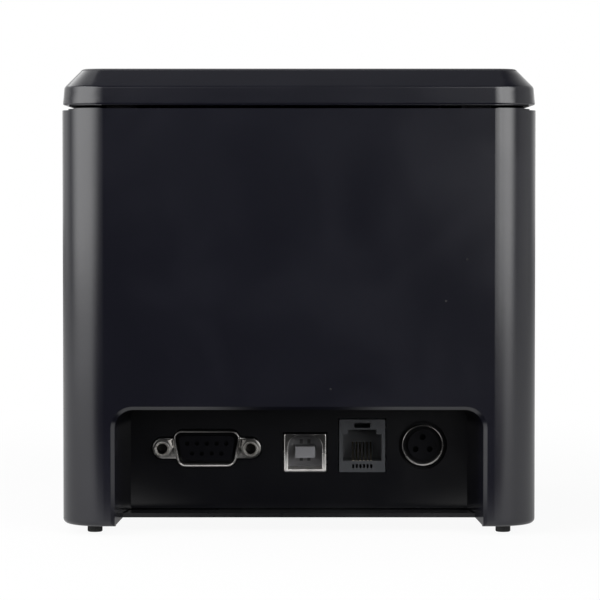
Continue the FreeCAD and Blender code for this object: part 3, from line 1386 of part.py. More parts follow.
def make_cutter_frame():
    half = CUT_WIDTH / 2
    base = block(-half, half, CUT_FRONT, CUT_MOUTH, CUT_BASE_Z, CUT_BASE_Z + CUT_BASE_T)
    flange = block(half - CUT_FLANGE_T, half, CUT_FRONT, BRACKET_Y - 2 * PLATE_T, CUT_FLANGE_Z, CUT_LID_Z)
    rail = block(half - RAIL_W - CUT_FLANGE_T, half - CUT_FLANGE_T, CUT_FRONT, CUT_MOUTH,
                 CUT_BASE_Z + CUT_BASE_T, BLADE_Z - BLADE_SLIDE_GAP)
    near = cutter_motor_x()
    bracket = block(near - CUT_MOTOR_PLATE_T, near, CUT_MOTOR_Y - CUT_MOTOR_R,
                    CUT_SHAFT_Y - CUT_SHAFT_R - SLOT_ROOM, CUT_MOTOR_Z - CUT_MOTOR_R,
                    CUT_BASE_Z + CUT_BASE_T / 2)
    frame = join([base, bracket] + pair(flange) + pair(rail))
    y0, y1 = rack_span()
    room = RACK_W / 2 + SLOT_ROOM
    slot = block(RACK_X - room, RACK_X + room, y0 - SLOT_ROOM, y1 + BLADE_STROKE + SLOT_ROOM, 0, BLADE_Z)
    gear_r = CUT_MODULE * (CUT_GEAR_TEETH / 2 + ADDENDUM) + SLOT_ROOM
    gear_slot = block(CUT_GEAR_X - SLOT_ROOM, CUT_GEAR_X + CUT_GEAR_FACE + SLOT_ROOM, CUT_SHAFT_Y - gear_r,
                      CUT_SHAFT_Y + gear_r, 0, BLADE_Z)
    cuts = pair(slot) + [gear_slot, rod_x(-HALF_W, HALF_W, CUT_SHAFT_Y, CUT_SHAFT_Z, CUT_SHAFT_R + RUN),
                         rod_x(near - FLANGE_W, near, CUT_MOTOR_Y, CUT_MOTOR_Z, 2 * CUT_MOTOR_SHAFT_R)]
    return lean(frame.cut(cuts))


def make_cutter_blade():
    """Vee-edged moving blade, with a toothed rack under each side."""
    half = BLADE_W / 2
    plate = plate_z([(-half, BLADE_BACK), (half, BLADE_BACK), (half, BLADE_EDGE), (0, BLADE_EDGE - BLADE_VEE),
                     (-half, BLADE_EDGE)], BLADE_Z, BLADE_Z + BLADE_T)
    pitch = math.pi * MODULE
    y0, y1 = rack_span()
    slope = math.tan(PRESSURE)
    tip_z = RACK_PITCH_Z - MODULE * ADDENDUM
    root_z = RACK_PITCH_Z + MODULE * ADDENDUM
    half_tooth = pitch / 4 - BACKLASH / 4
    points = [(y0, BLADE_Z), (y0, root_z)]
    grow = slope * MODULE * ADDENDUM
    before = int((CUT_SHAFT_Y - y0) / pitch - 1)
    after = int((y1 - CUT_SHAFT_Y) / pitch)
    for step in range(-before, after):
        tooth = CUT_SHAFT_Y + (step - 0.5) * pitch
        points += [(tooth - half_tooth - grow, root_z), (tooth - half_tooth + grow, tip_z),
                   (tooth + half_tooth - grow, tip_z), (tooth + half_tooth + grow, root_z)]
    points += [(y1, root_z), (y1, BLADE_Z)]
    rack = plate_x(points, RACK_X - RACK_W / 2, RACK_X + RACK_W / 2)
    return lean(join([plate] + pair(rack)))


def make_cutter_shaft():
    """Cross shaft with a pinion under each rack and the wheel that the motor drives."""
    half = CUT_WIDTH / 2 - FIT
    shaft = rod_x(-half, half, 0, 0, CUT_SHAFT_R)
    pinion = gear(CUT_PINION_TEETH, MODULE, math.pi / 2, RACK_X - RACK_W / 2, RACK_X + RACK_W / 2)
    wheel = gear(CUT_GEAR_TEETH, CUT_MODULE, CUT_MOTOR_ANGLE, CUT_GEAR_X, CUT_GEAR_X + CUT_GEAR_FACE)
    return lean(moved(join([shaft, wheel] + pair(pinion)), CUT_SHAFT_Y, CUT_SHAFT_Z))


def make_cutter_pinion():
    phase = CUT_MOTOR_ANGLE + math.pi + math.pi / CUT_DRIVE_TEETH
    wheel = gear(CUT_DRIVE_TEETH, CUT_MODULE, phase, CUT_GEAR_X - FIT, CUT_GEAR_X + CUT_GEAR_FACE + FIT)
    wheel = wheel.cut(rod_x(-HALF_W, HALF_W, 0, 0, CUT_MOTOR_SHAFT_R))
    return lean(moved(wheel, CUT_MOTOR_Y, CUT_MOTOR_Z))


def make_cutter_motor():
    """Flat-sided can motor on the bracket of the cutter's frame."""
    near = cutter_motor_x()
    can = rod_x(near, near + CUT_MOTOR_L, 0, 0, CUT_MOTOR_R)
    can = can.common(block(near, near + CUT_MOTOR_L, -CUT_MOTOR_R, CUT_MOTOR_R, -CUT_MOTOR_FLAT,
                           CUT_MOTOR_FLAT))
    nose = rod_x(near - CUT_MOTOR_PLATE_T, near, 0, 0, 2 * CUT_MOTOR_SHAFT_R - RUN)
    tail = rod_x(near + CUT_MOTOR_L, near + CUT_MOTOR_L + SMALL_STEP, 0, 0, 2 * CUT_MOTOR_SHAFT_R)
    bore = rod_x(near - CUT_MOTOR_PLATE_T, near + CUT_MOTOR_L / 2, 0, 0, CUT_MOTOR_SHAFT_R + RUN)
    return lean(moved(join([can, nose, tail]).cut(bore), CUT_MOTOR_Y, CUT_MOTOR_Z))


def make_cutter_motor_shaft():
    shaft = rod_x(CUT_GEAR_X - FIT, cutter_motor_x() + CUT_MOTOR_L / 2 - FIT, 0, 0, CUT_MOTOR_SHAFT_R)
    return lean(moved(shaft, CUT_MOTOR_Y, CUT_MOTOR_Z))


def make_cutter_lid():
    half = CUT_WIDTH / 2
    top = block(-half, half, CUT_FRONT, CUT_MOUTH - 2 * BLADE_VEE, CUT_LID_Z, CUT_LID_Z + CUT_LID_T)
    guide = block(half - RAIL_W - CUT_FLANGE_T, half - CUT_FLANGE_T - FIT, CUT_FRONT,
                  CUT_MOUTH - 2 * BLADE_VEE, BLADE_Z + BLADE_T + BLADE_SLIDE_GAP, CUT_LID_Z)
    return lean(join([top] + pair(guide)))


# Paper cover and what it carries
def make_cover(outside, inside):
    cover = outside.common(behind(EXIT_COVER + SPLIT_GAP))
    notch = lean(block(-EXIT_W / 2, EXIT_W / 2, EXIT_COVER, EXIT_LID, 0, FAR))
    hollow = inside.common(behind(EXIT_LID + LID_T))
    return cover.cut([notch, hollow])


def make_liner():
    """Frame under the lid: platen arms, cutter bar seat, hinge knuckles and the lift pad."""
    plate = block(-LINER_HALF_W, LINER_HALF_W, LINER_FRONT, LINER_REAR, LINER_Z, LID_UNDER)
    window = LINER_HALF_W - LINER_WINDOW_SIDE
    plate = plate.cut(block(-window, window, PLATEN_Y + LINER_WINDOW_FRONT, LINER_REAR - LINER_WINDOW_REAR,
                            LINER_Z, LID_UNDER))
    arm = plate_x([(PLATEN_Y - ARM_BOSS_R, LINER_Z), (PLATEN_Y + 2 * ARM_BOSS_R, LINER_Z),
                   (PLATEN_Y + ARM_BOSS_R, PLATEN_Z), (PLATEN_Y - ARM_BOSS_R, PLATEN_Z)], ARM_X0, ARM_X1)
    boss = rod_x(ARM_X0, ARM_X1, PLATEN_Y, PLATEN_Z, ARM_BOSS_R)
    blade_top = BLADE_Z - BLADE_SLIDE_GAP
    near = EXIT_LID + LID_T + FIT
    seat = plate_x([lean_point(near, blade_top), lean_point(FIXED_BACK, blade_top),
                    (lean_point(FIXED_BACK, blade_top)[0], LINER_Z),
                    lean_point(near, lean_height(near, LINER_Z))], -PLATEN_L / 2, PLATEN_L / 2)
    pieces = [plate, seat] + pair(join([arm, boss]))
    for x in (EAR_X0 - KNUCKLE_GAP - KNUCKLE_T, EAR_X1 + KNUCKLE_GAP):
        root = LINER_REAR - EAR_NECK
        rib = plate_x([(root, LINER_Z), (root, LID_UNDER), (HINGE_Y, LID_UNDER),
                       (HINGE_Y + HINGE_EYE_R, HINGE_Z), (HINGE_Y, HINGE_Z - HINGE_EYE_R),
                       (HINGE_Y - HINGE_EYE_R, HINGE_Z - HINGE_EYE_R)], x, x + KNUCKLE_T)
        eye = rod_x(x, x + KNUCKLE_T, HINGE_Y, HINGE_Z, HINGE_EYE_R)
        pieces += pair(join([rib, eye]))
    pieces.append(lift_pad())
    liner = join(pieces)
    cuts = [rod_x(-HALF_W, HALF_W, HINGE_Y, HINGE_Z, HINGE_PIN_R + RUN),
            rod_x(-HALF_W, HALF_W, PLATEN_Y, PLATEN_Z, BUSH_R + RUN / 2)]
    return liner.cut(cuts)


def lever_finger_top(turn):
    """Height of the lever finger's upper end at a turn, in degrees."""
    angle = math.radians(turn)
    return LEVER_Z + LEVER_REACH * math.sin(angle) + LEVER_ARM / 2 * math.cos(angle)


def lift_pad():
    """Hooked foot of the liner, behind the lid's front wall, that the lever's finger lifts."""
    bottom = lever_finger_top(LEVER_TURN) + PAD_GAP
    back = lean_point(EXIT_LID + LID_T, lean_height(EXIT_LID + LID_T, LID_Z))[0] + 2 * FIT
    toe = back - PAD_TOE
    heel = back + PAD_HANGER
    return plate_x([(toe, bottom), (heel, bottom), (heel, LID_UNDER), (back, LID_UNDER),
                    (back, bottom + PAD_TOE_T), (toe, bottom + PAD_TOE_T)],
                   LEVER_X + LEVER_T - PAD_T, LEVER_X + LEVER_T)


def make_fixed_blade():
    top = BLADE_Z - BLADE_SLIDE_GAP
    half = BLADE_W / 2
    return lean(block(-half, half, FIXED_EDGE, FIXED_BACK, top - FIXED_T, top))


def make_tear_bar():
    """Serrated strip on the lid's edge of the paper exit."""
    top = lean_height(EXIT_LID, HEIGHT) - TEAR_DROP
    half = PLATEN_L / 2
    count = int(PLATEN_L / TEAR_PITCH)
    points = [(-half, top - TEAR_H), (half, top - TEAR_H)]
    for index in range(count):
        right = half - index * TEAR_PITCH
        points += [(right, top - TEAR_TOOTH), (right - TEAR_PITCH / 2, top)]
    points.append((half - count * TEAR_PITCH, top - TEAR_TOOTH))
    return lean(plate_y(points, EXIT_LID - TEAR_T, EXIT_LID))


# Front cover and its controls
def lever_pocket(grow):
    """Sunk pocket for the lever's tab, with room for its throw."""
    throw = (HEIGHT - LEVER_Z) * math.sin(math.radians(LEVER_TURN)) + POCKET_ROOM
    x1 = LEVER_X + LEVER_T + POCKET_ROOM + grow
    x0 = x1 - LEVER_TAB_W - 2 * POCKET_ROOM - 2 * grow
    y0 = LEVER_Y - LEVER_TAB_D / 2 - throw - grow
    y1 = LEVER_Y + LEVER_TAB_D / 2 + POCKET_ROOM + grow
    top = HEIGHT - SMALL_STEP if grow else HEIGHT + SWEEP_MARGIN
    return block(x0, x1, y0, y1, HEIGHT - POCKET_DEEP - grow, top)


def lever_slit():
    throw = (HEIGHT - LEVER_Z) * math.sin(math.radians(LEVER_TURN)) + POCKET_ROOM
    return block(LEVER_X - FIT, LEVER_X + LEVER_T + FIT, LEVER_Y - LEVER_ARM / 2 - throw,
                 LEVER_Y + LEVER_ARM / 2 + POCKET_ROOM, BODY_TOP, HEIGHT + SWEEP_MARGIN)


def lens_places():
    return [LENS_X + index * LENS_PITCH for index in range(LENS_COUNT)]


def panel_board_top():
    return HEIGHT - PANEL_BOARD_DROP


def panel_posts():
    return [(x, PANEL_Y) for x in (PANEL_BOARD_X0 + PANEL_POST_R, PANEL_BOARD_X1 - PANEL_POST_R)]


def make_front_cover(outside, inside):
    cover = outside.common(in_front_of(EXIT_COVER))
    cover = cover.cut(inside.common(in_front_of(EXIT_COVER - LID_T)))
    skirt_in = WALL + FIT + COVER_SKIRT_T
    skirt = ring(WALL + FIT, skirt_in, BODY_TOP - COVER_SKIRT_H, LID_Z + COVER_SKIRT_RIM)
    rim = ring(LID_INSET + LID_T / 2, skirt_in, LID_Z + LID_EDGE, LID_Z + COVER_SKIRT_RIM)
    reach = LEVER_Y + LEVER_HUB_R
    keep = block(-HALF_W, HALF_W, -HALF_D, reach, 0, HEIGHT)
    added = [skirt.common(keep), rim.common(keep), lever_pocket(POCKET_T)]
    for x, y in panel_posts():
        added.append(rod_z(panel_board_top(), LID_UNDER, x, y, PANEL_POST_R))
    cover = join([cover] + added)
    lever_bay = block(LEVER_X - FIT, LEVER_X + LEVER_T + 4 * FIT, LEVER_Y - 3 * LEVER_HUB_R, 0, 0, BODY_TOP)
    half_w = BUTTON_W / 2 + FIT / 2
    half_d = BUTTON_D / 2 + FIT / 2
    cuts = [lever_pocket(0), lever_slit(),
            rounded_z(BUTTON_X - half_w, BUTTON_X + half_w, PANEL_Y - half_d, PANEL_Y + half_d, BUTTON_R,
                      LID_UNDER - SWEEP_MARGIN, HEIGHT + SWEEP_MARGIN)]
    for x in lens_places():
        cuts.append(rod_z(LID_UNDER - SWEEP_MARGIN, HEIGHT + SWEEP_MARGIN, x, PANEL_Y, LENS_R + RUN))
    for x, y in panel_posts():
        cuts.append(rod_z(panel_board_top(), panel_board_top() + 3 * LID_T, x, y, PILOT_R))
    return cover.cut(cuts + [lever_bay])


def make_button():
    """Cap, retaining rim and the stem over the key switch."""
    half_w = BUTTON_W / 2
    half_d = BUTTON_D / 2
    rim_top = LID_UNDER - FIT
    rim_low = rim_top - BUTTON_RIM_T
    stem_low = panel_board_top() + KEY_H + BUTTON_TRAVEL + FIT
    cap = rounded_z(BUTTON_X - half_w, BUTTON_X + half_w, PANEL_Y - half_d, PANEL_Y + half_d,
                    BUTTON_R - FIT / 2, rim_low, HEIGHT + BUTTON_STAND)
    crown = [edge for edge in cap.Edges if edge.BoundBox.ZMin > HEIGHT + BUTTON_STAND / 2]
    cap = cap.makeFillet(BUTTON_STAND, crown)
    rim = rounded_z(BUTTON_X - half_w - BUTTON_RIM, BUTTON_X + half_w + BUTTON_RIM,
                    PANEL_Y - half_d - BUTTON_RIM, PANEL_Y + half_d + BUTTON_RIM, BUTTON_R, rim_low,
                    rim_top)
    stem = rod_z(stem_low, rim_low, BUTTON_X, PANEL_Y, KEY_W / 3)
    return join([cap, rim, stem])


def make_lenses():
    lenses = []
    for x in lens_places():
        pipe = rod_z(panel_board_top() + SMALL_STEP, HEIGHT, x, PANEL_Y, LENS_R)
        collar = rod_z(LID_UNDER - LENS_COLLAR_T, LID_UNDER, x, PANEL_Y, LENS_COLLAR_R)
        lenses.append(join([pipe, collar]))
    return Part.makeCompound(lenses)


def make_panel_board():
    top = panel_board_top()
    board = block(PANEL_BOARD_X0, PANEL_BOARD_X1, PANEL_Y - PANEL_BOARD_W / 2, PANEL_Y + PANEL_BOARD_W / 2,
                  top - PANEL_BOARD_T, top)
    return board.cut([rod_z(0, HEIGHT, x, y, SCREW_FREE_R) for x, y in panel_posts()])


def make_panel_screws():
    seat = panel_board_top() - PANEL_BOARD_T
    screws = []
    for x, y in panel_posts():
        head = rod_z(seat - HEAD_T, seat, x, y, HEAD_R)
        shank = rod_z(seat, panel_board_top() + 2 * LID_T, x, y, SCREW_R)
        drive = rod_z(seat - HEAD_T, seat - HEAD_T + DRIVE_DEEP, x, y, DRIVE_R)
        screws.append(join([head, shank]).cut(drive))
    return Part.makeCompound(screws)


def make_panel_parts():
    """Key switch under the button and a small light under each lens."""
    top = panel_board_top()
    half = KEY_W / 2
    key = join([block(BUTTON_X - half, BUTTON_X + half, PANEL_Y - half, PANEL_Y + half, top,
                      top + KEY_H - BUTTON_TRAVEL),
                rod_z(top, top + KEY_H, BUTTON_X, PANEL_Y, KEY_W / 4)])
    lights = [block(x - LENS_R, x + LENS_R, PANEL_Y - LENS_R, PANEL_Y + LENS_R, top, top + SMALL_STEP - FIT)
              for x in lens_places()]
    return Part.makeCompound([key] + lights)


def make_lever():
    """Bell-crank: tab in the front cover's pocket, hub on the side wall's pin, finger under the lid's pad."""
    x0 = LEVER_X
    x1 = LEVER_X + LEVER_T
    half = LEVER_ARM / 2
    hub = rod_x(x0, x1, LEVER_Y, LEVER_Z, LEVER_HUB_R)
    stem = block(x0, x1, LEVER_Y - half, LEVER_Y + half, LEVER_Z, HEIGHT - LEVER_TAB_T)
    tab_x0 = x1 - LEVER_TAB_W
    tab = block(tab_x0, x1, LEVER_Y - LEVER_TAB_D / 2, LEVER_Y + LEVER_TAB_D / 2, HEIGHT - LEVER_TAB_T,
                HEIGHT)
    edges = [edge for edge in tab.Edges if edge.BoundBox.ZMin > HEIGHT - FIT and edge.BoundBox.XLength > FIT]
    tab = tab.makeFillet(LEVER_TAB_T / 3, edges)
    finger = block(x0, x1, LEVER_Y, LEVER_Y + LEVER_REACH, LEVER_Z - half, LEVER_Z + half)
    tip = rod_x(x0, x1, LEVER_Y + LEVER_REACH, LEVER_Z, half)
    lever = join([hub, stem, tab, finger, tip])
    grips = []
    for index in (-1, 0, 1):
        grips.append(rod_x(tab_x0 + SMALL_STEP, x1 - SMALL_STEP, LEVER_Y + index * LEVER_TAB_D / 4,
                           HEIGHT + RUN, LEVER_TAB_T / 5))
    return lever.cut(grips + [rod_x(x0, x1, LEVER_Y, LEVER_Z, LEVER_PIN_R + RUN)])


# Power rocker
def rocker_pivot():
    return V(-HALF_W + SWITCH_POCKET + SWITCH_RIM_T / 2, ROCKER_Y, ROCKER_Z)


def make_switch_frame():
    floor = -HALF_W + SWITCH_POCKET
    half_l = ROCKER_L / 2 + SWITCH_WALL
    half_w = ROCKER_W / 2 + SWITCH_WALL
    can = block(floor, floor + SWITCH_DEEP, ROCKER_Y - half_l, ROCKER_Y + half_l, ROCKER_Z - half_w,
                ROCKER_Z + half_w)
    rim = block(floor - SWITCH_RIM_T, floor, ROCKER_Y - half_l - SWITCH_RIM, ROCKER_Y + half_l + SWITCH_RIM,
                ROCKER_Z - half_w - SWITCH_RIM, ROCKER_Z + half_w + SWITCH_RIM)
    front = [edge for edge in rim.Edges if edge.BoundBox.XMax < floor - SWITCH_RIM_T + RUN]
    rim = rim.makeFillet(SWITCH_RIM_T / 2, front)
    room = FIT
    hollow = block(floor - SWITCH_RIM_T, floor + SWITCH_DEEP - SWITCH_WALL, ROCKER_Y - ROCKER_L / 2 - room,
                   ROCKER_Y + ROCKER_L / 2 + room, ROCKER_Z - ROCKER_W / 2 - room,
                   ROCKER_Z + ROCKER_W / 2 + room)
    pivot = rocker_pivot()
    trunnions = rod_z(ROCKER_Z - half_w, ROCKER_Z + half_w, pivot.x + ROCKER_PIN_R, ROCKER_Y,
                      ROCKER_PIN_R + RUN)
    return join([can, rim]).cut([hollow, trunnions])


def make_rocker():
    """Dished rocker on two trunnions, at rest in its off position."""
    pivot = rocker_pivot()
    x = pivot.x
    half = ROCKER_L / 2 - FIT
    outer_front = V(x - ROCKER_RISE, ROCKER_Y - half, 0)
    outer_rear = V(x - ROCKER_RISE, ROCKER_Y + half, 0)
    inner_front = V(x + SWITCH_RIM_T, ROCKER_Y - half, 0)
    inner_rear = V(x + SWITCH_RIM_T, ROCKER_Y + half, 0)
    dish = Part.Arc(outer_front, V(x - ROCKER_RISE + ROCKER_DISH, ROCKER_Y, 0), outer_rear)
    belly = Part.Arc(inner_rear, V(x + ROCKER_BELLY, ROCKER_Y, 0), inner_front)
    edges = [dish.toShape(), Part.makeLine(outer_rear, inner_rear), belly.toShape(),
             Part.makeLine(inner_front, outer_front)]
    body = Part.Face(Part.Wire(edges)).extrude(V(0, 0, ROCKER_W - 2 * RUN))
    body.translate(V(0, 0, ROCKER_Z - ROCKER_W / 2 + RUN))
    pin = rod_z(ROCKER_Z - ROCKER_W / 2 - SWITCH_WALL + RUN, ROCKER_Z + ROCKER_W / 2 + SWITCH_WALL - RUN,
                x + ROCKER_PIN_R, ROCKER_Y, ROCKER_PIN_R)
    rocker = join([body, pin])
    rocker.rotate(V(x + ROCKER_PIN_R, ROCKER_Y, ROCKER_Z), Z_AXIS, -ROCKER_TILT)
    return rocker


def build():
    outside = slab_outside()
    inside = slab_inside()
    return {
        "main_housing": make_housing(),
        "base_tray": make_tray(),
        "rubber_feet": make_feet(),
        "case_screws": make_case_screws(),
        "mech_screws": make_mech_screws(),
        "board_screws": make_board_screws(),
        "main_board": make_board(),
        "board_parts": make_board_parts(),
        "serial_shell": make_serial_shell(),
        "serial_insert": make_serial_insert(),
        "serial_jackscrews": make_jackscrews(),
        "usb_shell": make_usb_shell(),
        "usb_insert": make_usb_insert(),
        "drawer_jack": make_jack(),
        "drawer_contacts": make_jack_wires(),
        "power_ring": make_power_ring(),
        "power_insert": make_power_insert(),
        "paper_bin": make_bin(),
        "paper_sensor": sensor_body(0),
        "hinge_pins": make_hinge_pins(),
        "mech_frame": make_mech_frame(),
        "thermal_head": make_thermal_head(),
        "head_heatsink": make_heatsink(),
        "head_shaft": make_head_shaft(),
        "head_spring": make_head_spring(),
        "platen_rubber": make_platen_rubber(),
        "platen_shaft": make_platen_shaft(),
        "platen_gear": make_platen_gear(),
        "platen_bushes": make_bushes(),
        "reduction_gear": make_reduction_gear(),
        "gear_stub": make_gear_stub(),
        "motor_pinion": make_motor_pinion(),
        "feed_motor": make_feed_motor(),
        "motor_shaft": make_motor_shaft(),
        "cutter_frame": make_cutter_frame(),
        "cutter_blade": make_cutter_blade(),
        "cutter_shaft": make_cutter_shaft(),
        "cutter_pinion": make_cutter_pinion(),
        "cutter_motor": make_cutter_motor(),
        "cutter_motor_shaft": make_cutter_motor_shaft(),
        "cutter_lid": make_cutter_lid(),
        "paper_cover": make_cover(outside, inside),
        "cover_liner": make_liner(),
        "fixed_blade": make_fixed_blade(),
        "tear_bar": make_tear_bar(),
        "front_cover": make_front_cover(outside, inside),
        "feed_button": make_button(),
        "status_lenses": make_lenses(),
        "button_board": make_panel_board(),
        "button_screws": make_panel_screws(),
        "button_parts": make_panel_parts(),
        "release_lever": make_lever(),
        "switch_frame": make_switch_frame(),
        "power_rocker": make_rocker(),
    }


os.makedirs("parts", exist_ok=True)
for node, shape in build().items():
    shape.exportStep("parts/" + node + ".step")
    print(node, len(shape.Solids), round(shape.Volume), shape.isValid())
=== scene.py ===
# %% [markdown]
# A receipt printer seen from behind: a black moulded box with a lid, and near the floor a recess with
# four sockets. The engineering model comes in as a fixed frame, with every solid already in its place,
# in metres. The shapes could be modelled again here, but two models drift apart, so this lesson only
# gives the printer a camera, light and finishes.

# %% Bring in the printer
import json
import math
import bpy
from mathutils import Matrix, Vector


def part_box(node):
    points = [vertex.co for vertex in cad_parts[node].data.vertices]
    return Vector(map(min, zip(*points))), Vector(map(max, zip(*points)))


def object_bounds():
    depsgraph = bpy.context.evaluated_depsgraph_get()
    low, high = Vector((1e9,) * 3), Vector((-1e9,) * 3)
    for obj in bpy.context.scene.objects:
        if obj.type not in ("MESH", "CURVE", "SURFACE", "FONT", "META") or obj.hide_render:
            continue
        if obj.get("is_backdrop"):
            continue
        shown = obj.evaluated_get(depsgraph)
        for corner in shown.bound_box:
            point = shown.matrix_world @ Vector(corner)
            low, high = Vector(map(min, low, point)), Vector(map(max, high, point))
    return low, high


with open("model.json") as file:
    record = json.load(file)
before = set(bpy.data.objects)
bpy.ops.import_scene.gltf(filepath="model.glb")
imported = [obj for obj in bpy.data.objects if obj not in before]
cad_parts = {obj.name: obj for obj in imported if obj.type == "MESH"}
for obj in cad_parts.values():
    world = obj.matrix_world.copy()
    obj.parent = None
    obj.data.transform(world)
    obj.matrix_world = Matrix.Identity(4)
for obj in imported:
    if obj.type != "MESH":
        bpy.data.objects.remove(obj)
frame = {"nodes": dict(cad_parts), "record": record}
cad_low, cad_high = (Vector(corner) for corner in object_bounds())
scene = bpy.context.scene
mm = 0.001
print("printer", [round(v, 4) for v in cad_high - cad_low], "pieces", len(frame["nodes"]))

# %% [markdown]
# The camera stands 85 cm behind the printer, a little below the height of the lid, and looks down by
# two degrees. It could stand nearer with a wider lens, but then the port plate, which lies 22 mm
# deeper than the rim, would look too small. A long lens from far away shows both at nearly one scale.

# %% Place the camera
rear_y = cad_high.y
eye_distance = 0.850
eye_height = 0.0970
eye_aside = -0.00028
aim_height = 0.0654
lens = bpy.data.cameras.new("rear_camera")
lens.sensor_width = 36.0
lens.lens = 185.1
camera = bpy.data.objects.new("rear_camera", lens)
camera.location = (eye_aside, rear_y + eye_distance, eye_height)
look_down = math.atan2(eye_height - aim_height, eye_distance)
camera.rotation_euler = (math.radians(90) - look_down, 0, math.radians(180))
scene.collection.objects.link(camera)
scene.camera = camera
print("camera", [round(v, 4) for v in camera.location], "down", round(math.degrees(look_down), 2))

# %% [markdown]
# The room, the floor, the lamps and the finishes are all made of shader nodes. Nodes can be placed and
# linked by hand in the editor. Here helpers write that down, so that each step stays short. The first
# three empty a node tree, add a node, and give a socket its number, colour or link.


# %% Make helpers that add nodes
def bare_tree(owner):
    """The node tree of a world, lamp or material, without the nodes that Blender starts it with."""
    owner.use_nodes = True
    owner.node_tree.nodes.clear()
    return owner.node_tree


def feed(tree, socket, value):
    """Link an output to a socket, or set a number, a vector or a colour on it."""
    if isinstance(value, bpy.types.NodeSocket):
        tree.links.new(value, socket)
    elif socket.type == "RGBA":
        socket.default_value = (*value, 1)
    else:
        socket.default_value = value


def add(tree, kind, **inputs):
    """A new shader node. Inputs go by their names, with underscores for spaces."""
    node = tree.nodes.new("ShaderNode" + kind)
    for name, value in inputs.items():
        feed(tree, node.inputs[name.replace("_", " ")], value)
    return node


print("node helpers", [helper.__name__ for helper in (bare_tree, feed, add)])

# %% [markdown]
# Light that changes from place to place needs sums. Each sum is one Math node, and long chains of them
# are hard to follow in the editor. As functions they read like a formula: one does a sum, one fades
# smoothly between two numbers, and one mixes two shaders.


# %% Make helpers that do sums
def calculate(tree, kind, first, second=0.0):
    """The result of one Math node."""
    node = add(tree, "Math")
    node.operation = kind
    feed(tree, node.inputs[0], first)
    feed(tree, node.inputs[1], second)
    return node.outputs[0]


def fade(tree, value, start, end, at_start, at_end):
    """A smooth change from one number to another while a value goes from start to end."""
    node = add(tree, "MapRange")
    node.interpolation_type = "SMOOTHSTEP"
    for socket, given in zip(node.inputs, (value, start, end, at_start, at_end)):
        feed(tree, socket, given)
    return node.outputs["Result"]


def mix_shaders(tree, share, first, second):
    """The first shader where a share is 0 and the second where it is 1."""
    node = add(tree, "MixShader")
    for socket, given in zip(node.inputs, (share, first.outputs[0], second.outputs[0])):
        feed(tree, socket, given)
    return node.outputs[0]


print("sum helpers", [helper.__name__ for helper in (calculate, fade, mix_shaders)])

# %% [markdown]
# A satin black box shows whatever stands around it. The room could be one even white, but then the
# flat rear wall would mirror it and turn grey. So the room is white to the eye, while mirrors see
# white only beyond the printer: the side where the camera stands is dim, as in a studio.

# %% Build the room
room_tint = (0.90, 0.94, 1.0)
room_level = 0.05
backdrop_level = 0.9
straight_on = -1.00
nearly_sideways = -0.05
scene.view_settings.view_transform = "Standard"
scene.world = bpy.data.worlds.new("white_room")
room = bare_tree(scene.world)
room_light = add(room, "Background", Color=room_tint, Strength=room_level)
room_seen = add(room, "Background", Color=(1, 1, 1), Strength=1.0)
ray = add(room, "LightPath").outputs
heading = add(room, "SeparateXYZ", Vector=add(room, "TexCoord").outputs["Generated"]).outputs
backdrop = fade(room, heading["Y"], straight_on, nearly_sideways, backdrop_level, 0.0)
mirrored = calculate(room, "MULTIPLY", ray["Is Glossy Ray"], backdrop)
seen = calculate(room, "MAXIMUM", ray["Is Camera Ray"], ray["Is Transmission Ray"])
white_share = calculate(room, "MAXIMUM", seen, mirrored)
add(room, "OutputWorld", Surface=mix_shaders(room, white_share, room_light, room_seen))
print("room light", room_level, "backdrop in mirrors", backdrop_level)

# %% [markdown]
# The floor is a wide pale disc. A sheet that curves up behind the printer would hide the horizon too,
# but it would stand in the way of the lamps. The disc is flat, and its far rim is as white as the room,
# so the two meet unseen.

# %% Lay the floor
floor_radius = 6.0
bpy.ops.mesh.primitive_circle_add(
    vertices=96, radius=floor_radius, fill_type="NGON", location=(0, 0, 0))
floor = bpy.context.object
floor.name = "pale_floor"
floor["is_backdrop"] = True
print("floor laid, radius", floor_radius)

# %% [markdown]
# The floor spreads pale light everywhere but in a wedge that opens behind the printer, towards the
# camera. There it is nearly black to all but the eye, as if a dark cloth lay on it, so the recess and
# the rear wall catch little light from below while the two rounded corners still get theirs.

# %% Shape the dim wedge of the floor
wedge_tip_y = 0.05
wedge_inner_slant = 0.32
wedge_outer_slant = 1.05
least_distance = 0.01
pale_beyond_y = -0.08
dim_from_y = -0.02
floor_finish = bpy.data.materials.new("pale_floor")
floor.data.materials.append(floor_finish)
paint = bare_tree(floor_finish)
floor_spot = add(paint, "TexCoord").outputs["Object"]
spot = add(paint, "SeparateXYZ", Vector=floor_spot).outputs
aside = calculate(paint, "ABSOLUTE", spot["X"])
behind = calculate(paint, "MAXIMUM", calculate(paint, "SUBTRACT", spot["Y"], wedge_tip_y), least_distance)
slant = calculate(paint, "DIVIDE", aside, behind)
beside = fade(paint, slant, wedge_inner_slant, wedge_outer_slant, 0.0, 1.0)
ahead = fade(paint, spot["Y"], pale_beyond_y, dim_from_y, 1.0, 0.0)
pale_part = calculate(paint, "MAXIMUM", beside, ahead)
print("dim wedge opens from y", wedge_tip_y)

# %% [markdown]
# To the eye the floor glows almost to white, and the last share of its light comes from the lamps, so
# the printer still throws a soft shadow. A floor lit by lamps alone could be white too, but only with
# more light than the printer should get. Past the shadow it is plain white.

